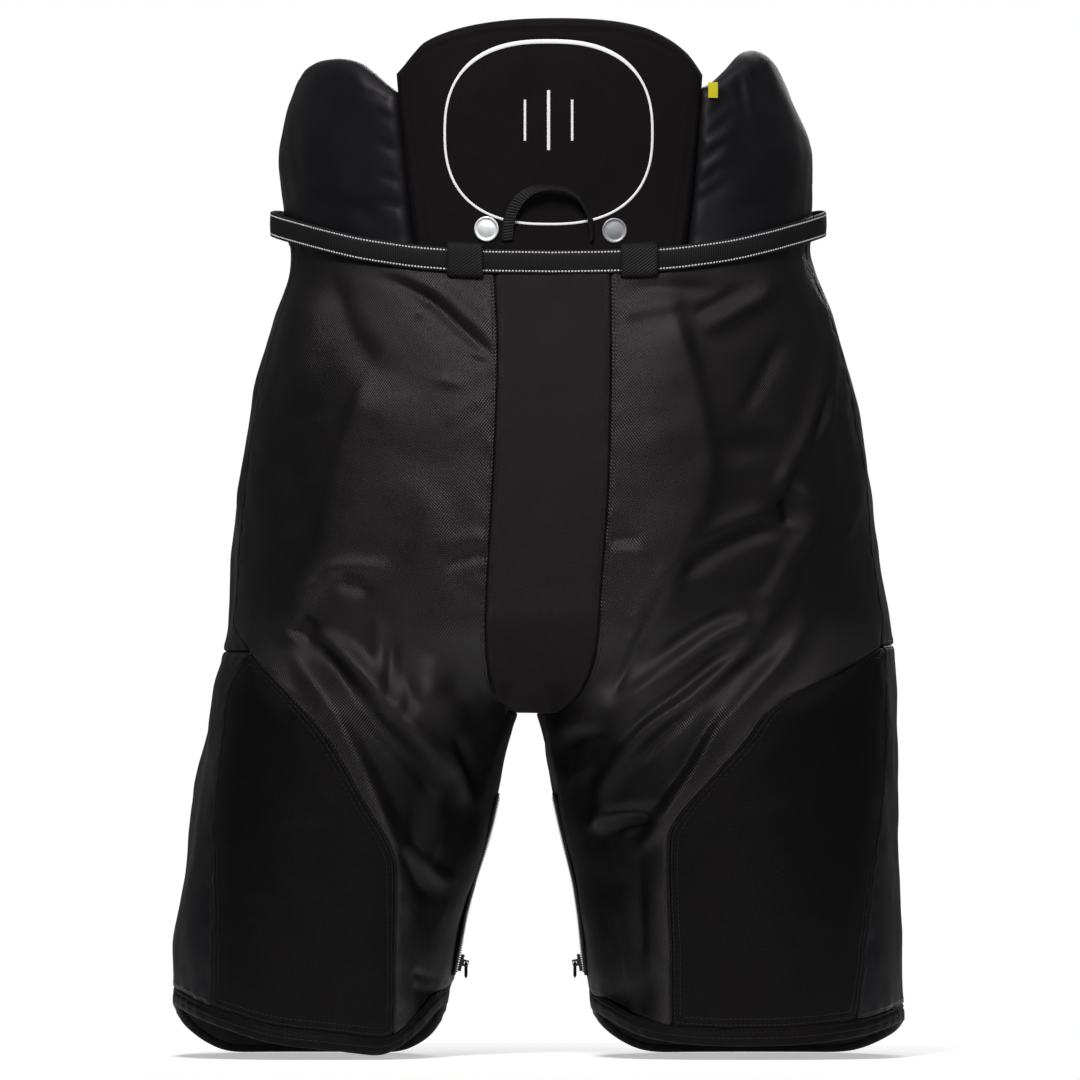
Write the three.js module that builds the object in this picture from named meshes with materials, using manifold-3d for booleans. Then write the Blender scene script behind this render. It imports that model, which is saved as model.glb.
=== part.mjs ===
// Ice hockey pants, standing upright on both hems.
// Frame: +X towards the wearer's right, +Y towards the wearer's front, +Z up, millimetres.
// The origin is on the floor, under the middle of the garment's bounding box.
// Every soft layer (outer fabric, foam, liner) is a curved slab between two offsets of one
// master surface, which is a pair of leg tubes that merge into one waist tube above the crotch.
import * as THREE from "three";
import { mergeVertices } from "three/addons/utils/BufferGeometryUtils.js";
import Module from "manifold-3d";

const wasm = await Module();
wasm.setup();

// ---------------------------------------------------------------- driving dimensions
const SHIFT = [4.55, 4.75, 0]; // moves the drafting origin to the middle of the bounding box
const SHELL = 2.4; // outer fabric with its backing
const PAD_OUT = 4.6; // outer and inner faces of the foam layer, below the outer surface
const PAD_IN = 17.6;
const LINER_OUT = 20;
const LINER_IN = 22;
const SEAM = 0.6; // gap left at every sewn edge
const HIP_Y = 0; // hip axis, about which each leg swings
const HIP_Z = 320;
const R_TORSO = 138; // torso pieces stay inside this radius below the hip axis
const R_LEG = 142; // leg pieces stay outside this one
const BELT_H = 16;
const BELT_T = 1.8;
const BELT_OFF = 3.2; // belt's inner face above the outer surface
const BUTTON_R = 8;
const HEM_H = 11;
const SPINE_AXIS_Z = 543;
const SQUARE = 2 / 2.5; // exponent of the rounded-box sections
const SPREAD = (25 * Math.PI) / 180; // half angle of a leg's inner wall

// Outline tables: height, then distance from the middle plane.
const OUTER = {
  L: [[0, -238], [40, -238.6], [75, -238.4], [100, -235], [125, -230], [164, -224.6], [202, -218.2], [228, -215], [241, -213], [253, -209.5], [266, -206], [279, -203.4], [292, -201.8], [318, -200], [343, -197.8], [369, -196.5], [394, -193], [420, -188], [445, -182], [471, -175], [490, -168.5], [503, -165], [515, -164.6], [540, -167.2], [565, -169.5], [580, -169.5], [594, -167], [609, -163], [624, -159], [640, -153], [665, -146]],
  R: [[0, 230], [48, 228.6], [87, 228], [112, 226.6], [138, 225.4], [177, 224], [215, 223.6], [241, 223.6], [254, 222.4], [279, 218.9], [292, 217], [318, 213.2], [343, 210.6], [369, 207.4], [394, 203.5], [420, 198.4], [445, 192.4], [471, 185], [490, 178.4], [503, 173], [515, 169.6], [548, 169.6], [575, 169.6], [590, 166], [609, 158.8], [625, 153.6], [640, 148], [665, 141]],
};
const INNER = {
  L: [[0, -66], [36, -63], [61, -57.6], [87, -53], [112, -46.7], [138, -38.4], [160, -33], [190, -27], [215, -20.5], [235, -16], [290, -12]],
  R: [[0, 34], [36, 28.5], [61, 25], [87, 22.4], [112, 18.6], [138, 12.2], [164, 6.4], [190, 1.6], [215, -2.6], [235, -7], [290, -10]],
};
const MIDDLE = [[0, -11], [215, -11], [260, -9], [330, -4], [420, 1], [500, 3], [560, 2.5], [665, 1.5]];
const BACK = [[0, 117], [80, 121], [150, 125], [215, 129], [280, 135], [340, 138.5], [400, 136], [450, 128], [490, 118], [515, 112], [560, 114], [620, 119], [665, 122]];
const FRONT = [[0, 126], [80, 128], [150, 129], [215, 129], [280, 127], [340, 125], [400, 121], [450, 116], [490, 110], [515, 106], [560, 106], [665, 106]];

// ---------------------------------------------------------------- small maths
function lookup(table, z) {
  const n = table.length;
  if (z <= table[0][0]) return table[0][1];
  if (z >= table[n - 1][0]) return table[n - 1][1];
  let i = 0;
  while (table[i + 1][0] < z) i++;
  const [z0, a] = table[i], [z1, b] = table[i + 1];
  const before = i > 0 ? (b - table[i - 1][1]) / (z1 - table[i - 1][0]) : (b - a) / (z1 - z0);
  const after = i + 2 < n ? (table[i + 2][1] - a) / (table[i + 2][0] - z0) : (b - a) / (z1 - z0);
  const h = z1 - z0, t = (z - z0) / h, t2 = t * t, t3 = t2 * t;
  return (2 * t3 - 3 * t2 + 1) * a + (t3 - 2 * t2 + t) * h * before + (-2 * t3 + 3 * t2) * b + (t3 - t2) * h * after;
}
const clamp = (v, a, b) => Math.min(b, Math.max(a, v));
const smooth = (t) => t * t * (3 - 2 * t);
const lerp = (a, b, t) => a + (b - a) * t;
const power = (v) => Math.sign(v) * Math.pow(Math.abs(v), SQUARE);
const RAD = Math.PI / 180;

function legPoint(side, psi, z) {
  const xo = lookup(OUTER[side], z), xi = lookup(INNER[side], z);
  const xc = (xo + xi) / 2, hw = (xi - xo) / 2;
  const s = Math.sin(psi), c = Math.cos(psi);
  return [xc + hw * power(c), s > 0 ? -lookup(BACK, z) * power(s) : -lookup(FRONT, z) * power(s)];
}
function torsoPoint(side, psi, z) {
  const t = clamp((psi - SPREAD) / (2 * Math.PI - 2 * SPREAD), 0, 1), phi = Math.PI * t;
  const xm = lookup(MIDDLE, z), xo = lookup(OUTER[side], z), c = Math.cos(phi);
  return [xm + (xo - xm) * power(Math.sin(phi)), c > 0 ? -lookup(BACK, z) * power(c) : -lookup(FRONT, z) * power(c)];
}
const CROTCH = [213, 285];
function merge(z) {
  return Math.pow(smooth(clamp((z - CROTCH[0]) / (CROTCH[1] - CROTCH[0]), 0, 1)), 0.6);
}
function rawPoint(side, psi, z) {
  const w = merge(z);
  if (w <= 0) return legPoint(side, psi, z);
  const b = torsoPoint(side, psi, z);
  if (w >= 1) return b;
  const a = legPoint(side, psi, z);
  return [lerp(a[0], b[0], w), lerp(a[1], b[1], w)];
}
// A point on the master surface, moved out by d along its horizontal normal.
function surface(side, psi, z, d = 0) {
  const p = rawPoint(side, psi, z), e = 0.02;
  const lowest = merge(z) > 0 ? SPREAD : -10, highest = merge(z) > 0 ? 2 * Math.PI - SPREAD : 20;
  const a = rawPoint(side, Math.max(psi - e, lowest), z), b = rawPoint(side, Math.min(psi + e, highest), z);
  let nx = b[1] - a[1], ny = -(b[0] - a[0]);
  if (side === "L") { nx = -nx; ny = -ny; }
  const l = Math.hypot(nx, ny) || 1;
  nx /= l; ny /= l;
  return new THREE.Vector3(p[0] - nx * d, p[1] - ny * d, z);
}
// The angle on the rear (or front) half of a side at which the surface reaches x.
function angleAt(side, x, z, front = false) {
  let lo = front ? Math.PI : SPREAD, hi = front ? 2 * Math.PI - SPREAD : Math.PI;
  if (merge(z) <= 0) { if (front) hi = 2 * Math.PI; else lo = 0; }
  const f = (a) => rawPoint(side, a, z)[0] - x;
  const flo = f(lo), fhi = f(hi);
  if (flo * fhi > 0) return Math.abs(flo) < Math.abs(fhi) ? lo : hi;
  for (let i = 0; i < 40; i++) {
    const m = (lo + hi) / 2;
    if (f(m) * flo > 0) lo = m; else hi = m;
  }
  return (lo + hi) / 2;
}
// y of the rear (or front) surface at x, z, with the two sides joined across the middle.
function wallY(x, z, front = false) {
  const side = x < lookup(MIDDLE, z) ? "L" : "R";
  const a = front ? 2 * Math.PI - SPREAD : SPREAD;
  const start = rawPoint(side, a, z);
  const within = side === "L" ? x > start[0] : x < start[0];
  if (within) return start[1];
  return rawPoint(side, angleAt(side, x, z, front), z)[1];
}

// ---------------------------------------------------------------- solids
// A closed slab between an outer and an inner grid of points; ring joins the last column to the first.
function slab(outer, inner, nu, nv, ring = false) {
  const cols = ring ? nu : nu + 1, rows = nv + 1, n = cols * rows;
  const points = [], index = [];
  for (const grid of [outer, inner])
    for (let j = 0; j < rows; j++)
      for (let i = 0; i < cols; i++) points.push(grid(i / nu, j / nv));
  const at = (layer, i, j) => layer * n + j * cols + (ring ? i % cols : i);
  const quad = (a, b, c, d) => index.push(a, b, c, a, c, d);
  for (let j = 0; j < nv; j++)
    for (let i = 0; i < nu; i++) {
      quad(at(0, i, j), at(0, i + 1, j), at(0, i + 1, j + 1), at(0, i, j + 1));
      quad(at(1, i, j), at(1, i, j + 1), at(1, i + 1, j + 1), at(1, i + 1, j));
    }
  for (let i = 0; i < nu; i++) {
    quad(at(0, i, 0), at(1, i, 0), at(1, i + 1, 0), at(0, i + 1, 0));
    quad(at(0, i, nv), at(0, i + 1, nv), at(1, i + 1, nv), at(1, i, nv));
  }
  if (!ring)
    for (let j = 0; j < nv; j++) {
      quad(at(0, 0, j), at(0, 0, j + 1), at(1, 0, j + 1), at(1, 0, j));
      quad(at(0, nu, j), at(1, nu, j), at(1, nu, j + 1), at(0, nu, j + 1));
    }
  return geometryOf(points, index);
}
function geometryOf(points, index) {
  const v = new Float32Array(points.length * 3);
  points.forEach((p, i) => v.set([p.x, p.y, p.z], i * 3));
  const volume = (idx) => {
    let s = 0;
    for (let k = 0; k < idx.length; k += 3) s += points[idx[k]].dot(points[idx[k + 1]].clone().cross(points[idx[k + 2]]));
    return s;
  };
  if (volume(index) < 0) for (let k = 0; k < index.length; k += 3) [index[k + 1], index[k + 2]] = [index[k + 2], index[k + 1]];
  return new THREE.BufferGeometry().setAttribute("position", new THREE.BufferAttribute(v, 3)).setIndex(index);
}
function solid(geometry) {
  const g = geometry.clone();
  for (const name of Object.keys(g.attributes)) if (name !== "position") g.deleteAttribute(name);
  const m = mergeVertices(g, 1e-4);
  return new wasm.Manifold(new wasm.Mesh({ numProp: 3, vertProperties: new Float32Array(m.attributes.position.array), triVerts: new Uint32Array(m.index.array) }));
}
function back(manifold) {
  const bodies = manifold.decompose().sort((a, b) => b.volume() - a.volume());
  const m = bodies[0].getMesh();
  const n = m.numProp, v = new Float32Array(m.numVert * 3);
  for (let i = 0; i < m.numVert; i++) v.set(m.vertProperties.subarray(i * n, i * n + 3), i * 3);
  return new THREE.BufferGeometry().setAttribute("position", new THREE.BufferAttribute(v, 3)).setIndex(Array.from(m.triVerts));
}
// Cylinders along X about the hip axis.
function hipCylinder(r) {
  const g = new THREE.CylinderGeometry(r, r, 900, 72).rotateZ(Math.PI / 2).translate(0, HIP_Y, HIP_Z);
  return solid(g);
}
function block(x0, x1, y0, y1, z0, z1) {
  return solid(new THREE.BoxGeometry(x1 - x0, y1 - y0, z1 - z0).translate((x0 + x1) / 2, (y0 + y1) / 2, (z0 + z1) / 2));
}
const torsoRoom = hipCylinder(R_TORSO).add(block(-450, 450, -300, 300, HIP_Z, 900));
const legRoom = block(-450, 450, -300, 300, -50, 268).subtract(hipCylinder(R_LEG));
const inTorso = (g) => back(solid(g).intersect(torsoRoom));
const inLeg = (g) => back(solid(g).intersect(legRoom));

const root = new THREE.Group();
const parts = new THREE.Group();
parts.position.set(...SHIFT);
root.add(parts);
const material = (hex, roughness, metalness = 0) => new THREE.MeshStandardMaterial({ color: hex, roughness, metalness });
const M = {
  knit: material(0x262326, 0.55),
  woven: material(0x232021, 0.85),
  nylon: material(0x1c1b1f, 0.45),
  spine: material(0x1b1718, 0.9),
  liner: material(0x1d1d20, 0.9),
  foam: material(0x3a3a3e, 0.95),
  plate: material(0xd8d8d4, 0.4),
  webbing: material(0x141614, 0.7),
  metal: material(0xc9cccf, 0.28, 1),
  plastic: material(0x101012, 0.4),
  zip: material(0x17171a, 0.6),
  label: material(0xd9d21c, 0.7),
};
function put(name, geometry, mat) {
  const mesh = new THREE.Mesh(geometry, mat);
  mesh.name = name;
  parts.add(mesh);
  return mesh;
}
// A panel on one side: angles from a(z) to b(z), heights from lo(psi) to hi(psi), layers out and in.
function panel(side, a, b, lo, hi, out, inn, nu, nv) {
  const low = typeof lo === "function" ? lo : () => lo, high = typeof hi === "function" ? hi : () => hi;
  const grid = (d) => (u, v) => {
    const zm = lerp(low(0, u), high(0, u), v);
    let psi = lerp(a(zm), b(zm), u);
    const z = lerp(low(psi, u), high(psi, u), v);
    psi = lerp(a(z), b(z), u);
    return surface(side, psi, z, d);
  };
  return slab(grid(out), grid(inn), nu, nv);
}

// ---------------------------------------------------------------- seams and edges
const sign = { L: -1, R: 1 };
// Rear centre panel: half width by height.
const REAR_HALF = [[219, 13], [228, 20], [245, 30], [270, 36], [330, 37.5], [500, 37]];
const FRONT_HALF = [[219, 13], [235, 24], [270, 32], [330, 34], [520, 34]];
const crotchGap = (z) => 2.6 * smooth(clamp((290 - z) / 40, 0, 1)); // the fabric turns under here
const TURN = 19.5 * RAD; // the hip panels stop this far from the middle of the inner thigh
const rearEdge = (side, gap = 0) => (z) => Math.max(TURN, angleAt(side, lookup(MIDDLE, z) + sign[side] * (lookup(REAR_HALF, z) + gap + crotchGap(z)), z));
const frontEdge = (side, gap = 0) => (z) => Math.min(2 * Math.PI - TURN, angleAt(side, lookup(MIDDLE, z) + sign[side] * (lookup(FRONT_HALF, z) + gap + crotchGap(z)), z, true));
const SIDE_REAR = 158 * RAD, SIDE_FRONT = 212 * RAD;
// Rear thigh panel: its inner seam by height, and its outer seam.
const THIGH_IN = {
  L: [[0, -100], [20, -97], [60, -95.5], [112, -95.5], [129, -97], [165, -117], [202, -138], [225, -157], [258, -189]],
  R: [[0, 80], [60, 79.5], [141, 78], [156, 86], [170, 98], [202, 127], [225, 146], [250, 194], [262, 214]],
};
const THIGH_OUT = {
  L: [[0, -214], [68, -213], [145, -211.8], [209, -207], [234, -203], [260, -188]],
  R: [[0, 194], [23, 197.8], [113, 208.6], [166, 215], [228, 217], [262, 216]],
};
const thighIn = (side, gap) => (z) => angleAt(side, lookup(THIGH_IN[side], z) + sign[side] * gap, z);
const thighOut = (side, gap) => (z) => angleAt(side, lookup(THIGH_OUT[side], z) + sign[side] * gap, z);
const gapAngle = (side, z) => SEAM / 2 / 100;
// Waist seam, where the lower shell meets the upper pads.
const waist = (psi) => {
  const t = clamp((psi - SPREAD) / (2 * Math.PI - 2 * SPREAD), 0, 1);
  return t < 0.5 ? lerp(495, 515, smooth(t * 2)) : lerp(515, 508, smooth(t * 2 - 1));
};
// Hem: height of the leg opening's edge by angle.
const HEM = {
  L: [[0, 34], [25, 26], [50, 10], [70, 1.2], [80, 0], [100, 4], [130, 17], [160, 27], [180, 29], [205, 16], [230, 3], [245, 0], [300, 0], [315, 3], [335, 14], [360, 34]],
  R: [[0, 30], [25, 22], [50, 9], [75, 3], [100, 3], [130, 8], [160, 15], [180, 17], [205, 10], [230, 2], [245, 0], [300, 0], [315, 3], [335, 14], [360, 30]],
};
const hem = (side, psi) => lookup(HEM[side], (((psi / RAD) % 360) + 360) % 360);
const hemTop = (side) => (psi) => Math.max(hem(side, psi), 0) + HEM_H + 2.8;

// ---------------------------------------------------------------- torso: outer fabric
for (const side of ["L", "R"]) {
  const name = side === "L" ? "left" : "right";
  const g = 0.006;
  put(`seat_panel_${name}`, inTorso(panel(side, rearEdge(side, SEAM), () => SIDE_REAR - g, 176, (psi) => waist(psi) - SEAM, 0, SHELL, 7, 8)), M.knit);
  put(`hip_side_panel_${name}`, inTorso(panel(side, () => SIDE_REAR + g, () => SIDE_FRONT - g, 176, (psi) => waist(psi) - SEAM, 0, SHELL, 4, 8)), M.nylon);
  put(`front_hip_panel_${name}`, inTorso(panel(side, () => SIDE_FRONT + g, frontEdge(side, SEAM), 176, (psi) => waist(psi) - SEAM, 0, SHELL, 6, 8)), M.knit);
}
const across = (half, z, u) => lookup(MIDDLE, z) + lerp(-1, 1, u) * lookup(half, z);
function centrePanel(half, front, z0, z1, out, inn, nu, nv) {
  const s = front ? 1 : -1;
  return slab(
    (u, v) => { const z = lerp(z0, z1, v), x = across(half, z, u); return new THREE.Vector3(x, wallY(x, z, front) - s * out, z); },
    (u, v) => { const z = lerp(z0, z1, v), x = across(half, z, u); return new THREE.Vector3(x, wallY(x, z, front) - s * inn, z); },
    nu, nv);
}
put("seat_center_panel", inTorso(centrePanel(REAR_HALF, false, 222, 494.4, 0, SHELL, 3, 9)), M.woven);
put("front_center_panel", inTorso(centrePanel(FRONT_HALF, true, 222, 372, 0, SHELL, 3, 6)), M.woven);
// Crotch gusset: a saddle over the crotch whose sides hang down the inner thighs.
{
  const legX = (side, y, z) => {
    const q = Math.pow(Math.min(Math.abs(y) / lookup(y < 0 ? BACK : FRONT, z), 1), 1 / SQUARE);
    const xo = lookup(OUTER[side], z), xi = lookup(INNER[side], z);
    return (xo + xi) / 2 + ((xi - xo) / 2) * Math.pow(Math.sqrt(1 - q * q), SQUARE);
  };
  const grid = (d) => (u, v) => {
    const s = 2 * u - 1, side = s < 0 ? "L" : "R", k = Math.abs(s);
    const reach = lerp(69, 45, smooth(clamp((k - 0.3) / 0.25, 0, 1)));
    const y = lerp(-reach, reach, v);
    if (k > 0.5) {
      const z = lerp(207, 176, (k - 0.5) / 0.5);
      return new THREE.Vector3(legX(side, y, z) + sign[side] * d, y, z);
    }
    const a = (Math.PI / 2) * (1 - k / 0.5);
    const xl = Math.max(legX("L", y, 207), -23) - d, xr = Math.min(legX("R", y, 207), 1) + d, mid = (xl + xr) / 2, half = (xr - xl) / 2;
    return new THREE.Vector3(mid + Math.sign(s) * half * Math.cos(a), y, 207 + (11 + d) * Math.sin(a));
  };
  put("crotch_gusset", inTorso(slab(grid(0), grid(SHELL), 10, 5)), M.knit);
}
const SPINE_SIDE = { L: [[490, -80], [545, -87], [590, -91.5], [625, -95], [665, -97]], R: [[490, 86], [545, 93], [590, 97], [625, 99.5], [665, 101]] };

// ---------------------------------------------------------------- torso: foam and liner
const hipRear = { L: [[262, -140], [292, -138], [317, -125], [375, -109], [433, -87], [480, -84]], R: [[262, 120], [292, 118], [340, 104], [380, 88], [433, 80], [480, 84]] };
for (const side of ["L", "R"]) {
  const name = side === "L" ? "left" : "right";
  put(`hip_pad_${name}`, inTorso(panel(side, (z) => angleAt(side, lookup(hipRear[side], z), z), () => 250 * RAD, (p) => 262, 484, PAD_OUT, PAD_IN, 8, 5)), M.foam);
  // Upper pads wrap from the spine pad round each side to the front of the waist.
  const top = side === "L"
    ? [[0.16, 612], [0.2, 616], [0.26, 629], [0.31, 636], [0.37, 637], [0.44, 629], [0.55, 604], [0.66, 576], [0.78, 556], [0.88, 546], [0.94, 538]]
    : [[0.16, 614], [0.2, 618], [0.26, 630], [0.31, 641], [0.37, 640], [0.44, 630], [0.55, 604], [0.66, 576], [0.78, 556], [0.88, 546], [0.94, 538]];
  const t = (psi) => (psi - SPREAD) / (2 * Math.PI - 2 * SPREAD);
  put(`kidney_pad_${name}`, panel(side, spineEdge(side), () => SPREAD + 0.9 * (2 * Math.PI - 2 * SPREAD), (psi) => waist(psi) + SEAM, (psi) => lookup(top, t(psi)), 0.3, 20, 12, 4), M.nylon);
}
function spineEdge(side) {
  return (z) => angleAt(side, lookup(SPINE_SIDE[side], z) + sign[side] * 1.6, z);
}
put("tailbone_pad", slab(
  (u, v) => { const z = lerp(322, 480, v), x = lookup(MIDDLE, z) + lerp(-56, 56, u) * (1 - 0.25 * (1 - v)); return new THREE.Vector3(x, wallY(x, z) + SHELL + 1.2, z); },
  (u, v) => { const z = lerp(322, 480, v), x = lookup(MIDDLE, z) + lerp(-56, 56, u) * (1 - 0.25 * (1 - v)); return new THREE.Vector3(x, wallY(x, z) + 15, z); }, 6, 5), M.foam);
// Spine pad: a fixed base sewn in at the waist, and a free upper pad that tips outwards.
function spineSlab(z0, z1, topAt, out, inn, nu, nv) {
  const edge = (side, z, inset) => lookup(SPINE_SIDE[side], z) - sign[side] * inset;
  const grid = (d, inset) => (u, v) => {
    const x0 = lerp(edge("L", 600, 0), edge("R", 600, 0), u);
    const z = lerp(z0, topAt ? topAt(x0) : z1, v);
    const x = lerp(edge("L", z, inset), edge("R", z, inset), u);
    return new THREE.Vector3(x, wallY(x, z) + d, z);
  };
  return slab(grid(out, 0), grid(inn, 7), nu, nv);
}
const SPINE_TOP = [[-97, 619], [-94.7, 624], [-87.7, 632], [-81.9, 639], [-74, 647], [-55, 655], [-30, 660], [0, 662], [35, 661], [60, 656.5], [76, 649], [87.7, 640], [94, 632], [99, 624], [101, 619]];
put("spine_pad_base", spineSlab(509, 540, null, -1.2, 17, 8, 2), M.spine);
put("spine_pad", spineSlab(545, 0, (x) => lookup(SPINE_TOP, x), -3, 18, 12, 4), M.spine);
// The waist tube as one sheet: u runs from the front left edge, round the back, to the front right edge.
function around(u, z, d) {
  const side = u < 0.5 ? "L" : "R", t = Math.abs(2 * u - 1);
  const span = frontEdge(side, 0.6)(z) - SPREAD;
  const p = surface(side, SPREAD + t * span, z, d);
  if (Math.abs(u - 0.5) < 1e-9) p.lerp(surface("L", SPREAD, z, d), 0.5);
  return p;
}
put("torso_liner", slab(
  (u, v) => around(u, lerp(254, 492, v), LINER_OUT),
  (u, v) => around(u, lerp(254, 492, v), LINER_IN), 24, 5), M.liner);

// ---------------------------------------------------------------- belt, loops, buckle
const beltZ = (psi) => {
  const t = clamp((psi - SPREAD) / (2 * Math.PI - 2 * SPREAD), 0, 1);
  return lookup([[0, 507], [0.1, 508.5], [0.2, 514], [0.35, 525], [0.5, 533], [0.65, 531], [0.8, 526], [1, 524]], t);
};
// A horizontal strip at the belt's height: a point at angle, offset outwards by d, height dz above the belt's middle.
function beltPoint(side, psi, d, dz) {
  const z = beltZ(psi);
  const p = surface(side, psi, Math.max(z, 512), 0);
  const q = surface(side, psi, Math.max(z, 512), -1);
  const n = q.clone().sub(p).setZ(0).normalize();
  return new THREE.Vector3(p.x + n.x * d, p.y + n.y * d, z + dz);
}
const full = 2 * Math.PI - 2 * SPREAD;
// u runs from the front middle on the left, round the back, to the front middle on the right.
function beltAt(u, d, dz) {
  const side = u < 0.5 ? "L" : "R";
  const t = u < 0.5 ? 1 - 2 * u : 2 * u - 1;
  const p = beltPoint(side, SPREAD + t * full, d, dz);
  if (Math.abs(u - 0.5) < 1e-9) {
    const q = beltPoint("R", SPREAD, d, dz);
    p.set((p.x + q.x) / 2, (p.y + q.y) / 2, (p.z + q.z) / 2);
  }
  return p;
}
// Where the belt starts and ends beside the buckle.
const U_LEFT = 0.0095, U_RIGHT = 0.9905;
const bulge = (u) => BELT_OFF + 5.5 * Math.exp(-Math.pow((Math.abs(u - 0.5) - 0.235) / 0.035, 2));
const beltU = (s) => lerp(U_LEFT, U_RIGHT, s);
put("belt", slab(
  (s, v) => beltAt(beltU(s), bulge(beltU(s)) + BELT_T, lerp(-BELT_H / 2, BELT_H / 2, v)),
  (s, v) => beltAt(beltU(s), bulge(beltU(s)), lerp(-BELT_H / 2, BELT_H / 2, v)), 60, 1), M.webbing);
// A belt loop: a flat webbing bracket over the belt, from u0 to u1 along it.
function beltLoop(u0, u1, foot) {
  const outerIn = (u) => bulge(u) + BELT_T + 0.6, outer = (u) => bulge(u) + BELT_T + 2.2;
  const h = BELT_H / 2;
  const ring = (u) => [
    [foot, -h - 2.2], [outer(u), -h - 1.9], [outer(u), h + 2], [foot, h + 2.8],
    [foot, h + 1], [outerIn(u), h + 0.6], [outerIn(u), -h - 0.5], [foot, -h - 0.7],
  ];
  const n = 3, m = 8, points = [], index = [];
  for (let k = 0; k <= n; k++) {
    const u = lerp(u0, u1, k / n);
    for (const [d, dz] of ring(u)) points.push(beltAt(u, d, dz));
  }
  for (let k = 0; k < n; k++)
    for (let i = 0; i < m; i++) {
      const a = k * m + i, b = k * m + ((i + 1) % m), c = b + m, d = a + m;
      index.push(a, b, c, a, c, d);
    }
  const cap = (o, flip) => {
    for (const [a, b, c] of [[0, 1, 6], [0, 6, 7], [1, 2, 5], [1, 5, 6], [2, 3, 4], [2, 4, 5]])
      index.push(...(flip ? [o + a, o + c, o + b] : [o + a, o + b, o + c]));
  };
  cap(0, true);
  cap(n * m, false);
  return geometryOf(points, index);
}
// u of the rear at a given x.
function uAtX(x) {
  let lo = 0.25, hi = 0.75;
  for (let i = 0; i < 40; i++) { const m = (lo + hi) / 2; if (beltAt(m, 0, 0).x < x) lo = m; else hi = m; }
  return (lo + hi) / 2;
}
put("belt_loop_rear_left", beltLoop(uAtX(-62), uAtX(-46.2), 2.0), M.webbing);
put("belt_loop_rear_right", beltLoop(uAtX(51.8), uAtX(70), 2.0), M.webbing);
put("belt_loop_front_left", beltLoop(0.128, 0.152, 1.0), M.webbing);
put("belt_loop_front_right", beltLoop(0.848, 0.872, 1.0), M.webbing);

// Cam buckle at the front middle: frame, pin and lever.
const frontY = beltAt(0.0, 0, 0).y, BZ = 524, BX = lookup(MIDDLE, 524);
function boxAt(x0, x1, y0, y1, z0, z1) {
  return new THREE.BoxGeometry(x1 - x0, y1 - y0, z1 - z0).translate((x0 + x1) / 2, (y0 + y1) / 2, (z0 + z1) / 2);
}
const YB = frontY + 3.0; // back of the buckle
{
  const plate = block(BX - 17, BX + 17, YB, YB + 2.2, BZ - 13, BZ + 13);
  const cheekA = block(BX - 17, BX + 10, YB + 2, YB + 9.5, BZ + 10.2, BZ + 13);
  const cheekB = block(BX - 17, BX + 10, YB + 2, YB + 9.5, BZ - 13, BZ - 10.2);
  const slot = block(BX + 11, BX + 14, YB - 1, YB + 4, BZ - 8.6, BZ + 8.6);
  const bore = solid(new THREE.CylinderGeometry(1.45, 1.45, 40, 14).rotateX(Math.PI / 2).translate(BX - 8, YB + 6.2, BZ));
  put("buckle_frame", back(plate.add(cheekA).add(cheekB).subtract(slot).subtract(bore)), M.plastic);
  put("buckle_pin", new THREE.CylinderGeometry(1.0, 1.0, 25.6, 12).rotateX(Math.PI / 2).translate(BX - 8, YB + 6.2, BZ), M.metal);
  const hub = solid(new THREE.CylinderGeometry(2.7, 2.7, 19.4, 16).rotateX(Math.PI / 2).translate(BX - 8, YB + 6.2, BZ));
  const arm = block(BX - 8, BX + 15, YB + 6.4, YB + 8.6, BZ - 9.7, BZ + 9.7);
  const lip = block(BX + 13, BX + 17, YB + 6.8, YB + 9.6, BZ - 9.7, BZ + 9.7);
  const hole = solid(new THREE.CylinderGeometry(1.45, 1.45, 40, 14).rotateX(Math.PI / 2).translate(BX - 8, YB + 6.2, BZ));
  put("buckle_lever", back(hub.add(arm).add(lip).subtract(hole)), M.plastic);
}
// ---------------------------------------------------------------- suspender buttons
// A domed tack button on a short post, square to the wall it is riveted to.
function button(side, psi, z, off) {
  const p = surface(side, psi, z, 0), n = surface(side, psi, z, -1).sub(p).setZ(0).normalize();
  const profile = [[0, 0], [3, 0], [3, 2.5], [BUTTON_R, 3], [BUTTON_R, 3.9], [BUTTON_R - 1, 4.5], [0, 4.5]].map((q) => new THREE.Vector2(q[0], q[1]));
  const g = new THREE.LatheGeometry(profile, 16);
  g.applyQuaternion(new THREE.Quaternion().setFromUnitVectors(new THREE.Vector3(0, 1, 0), n));
  return g.translate(p.x + n.x * off, p.y + n.y * off, z);
}
put("suspender_button_rear_left", button("L", angleAt("L", -37.4, 526), 528, 1.8), M.metal);
put("suspender_button_rear_right", button("R", angleAt("R", 43, 526), 527, 1.8), M.metal);
for (const [k, side, x] of [["front_outer_left", "L", -78], ["front_inner_left", "L", -48], ["front_inner_right", "R", 54], ["front_outer_right", "R", 84]])
  put(`suspender_button_${k}`, button(side, angleAt(side, x, 543.5, true), 543.5, 0.8), M.metal);

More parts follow.
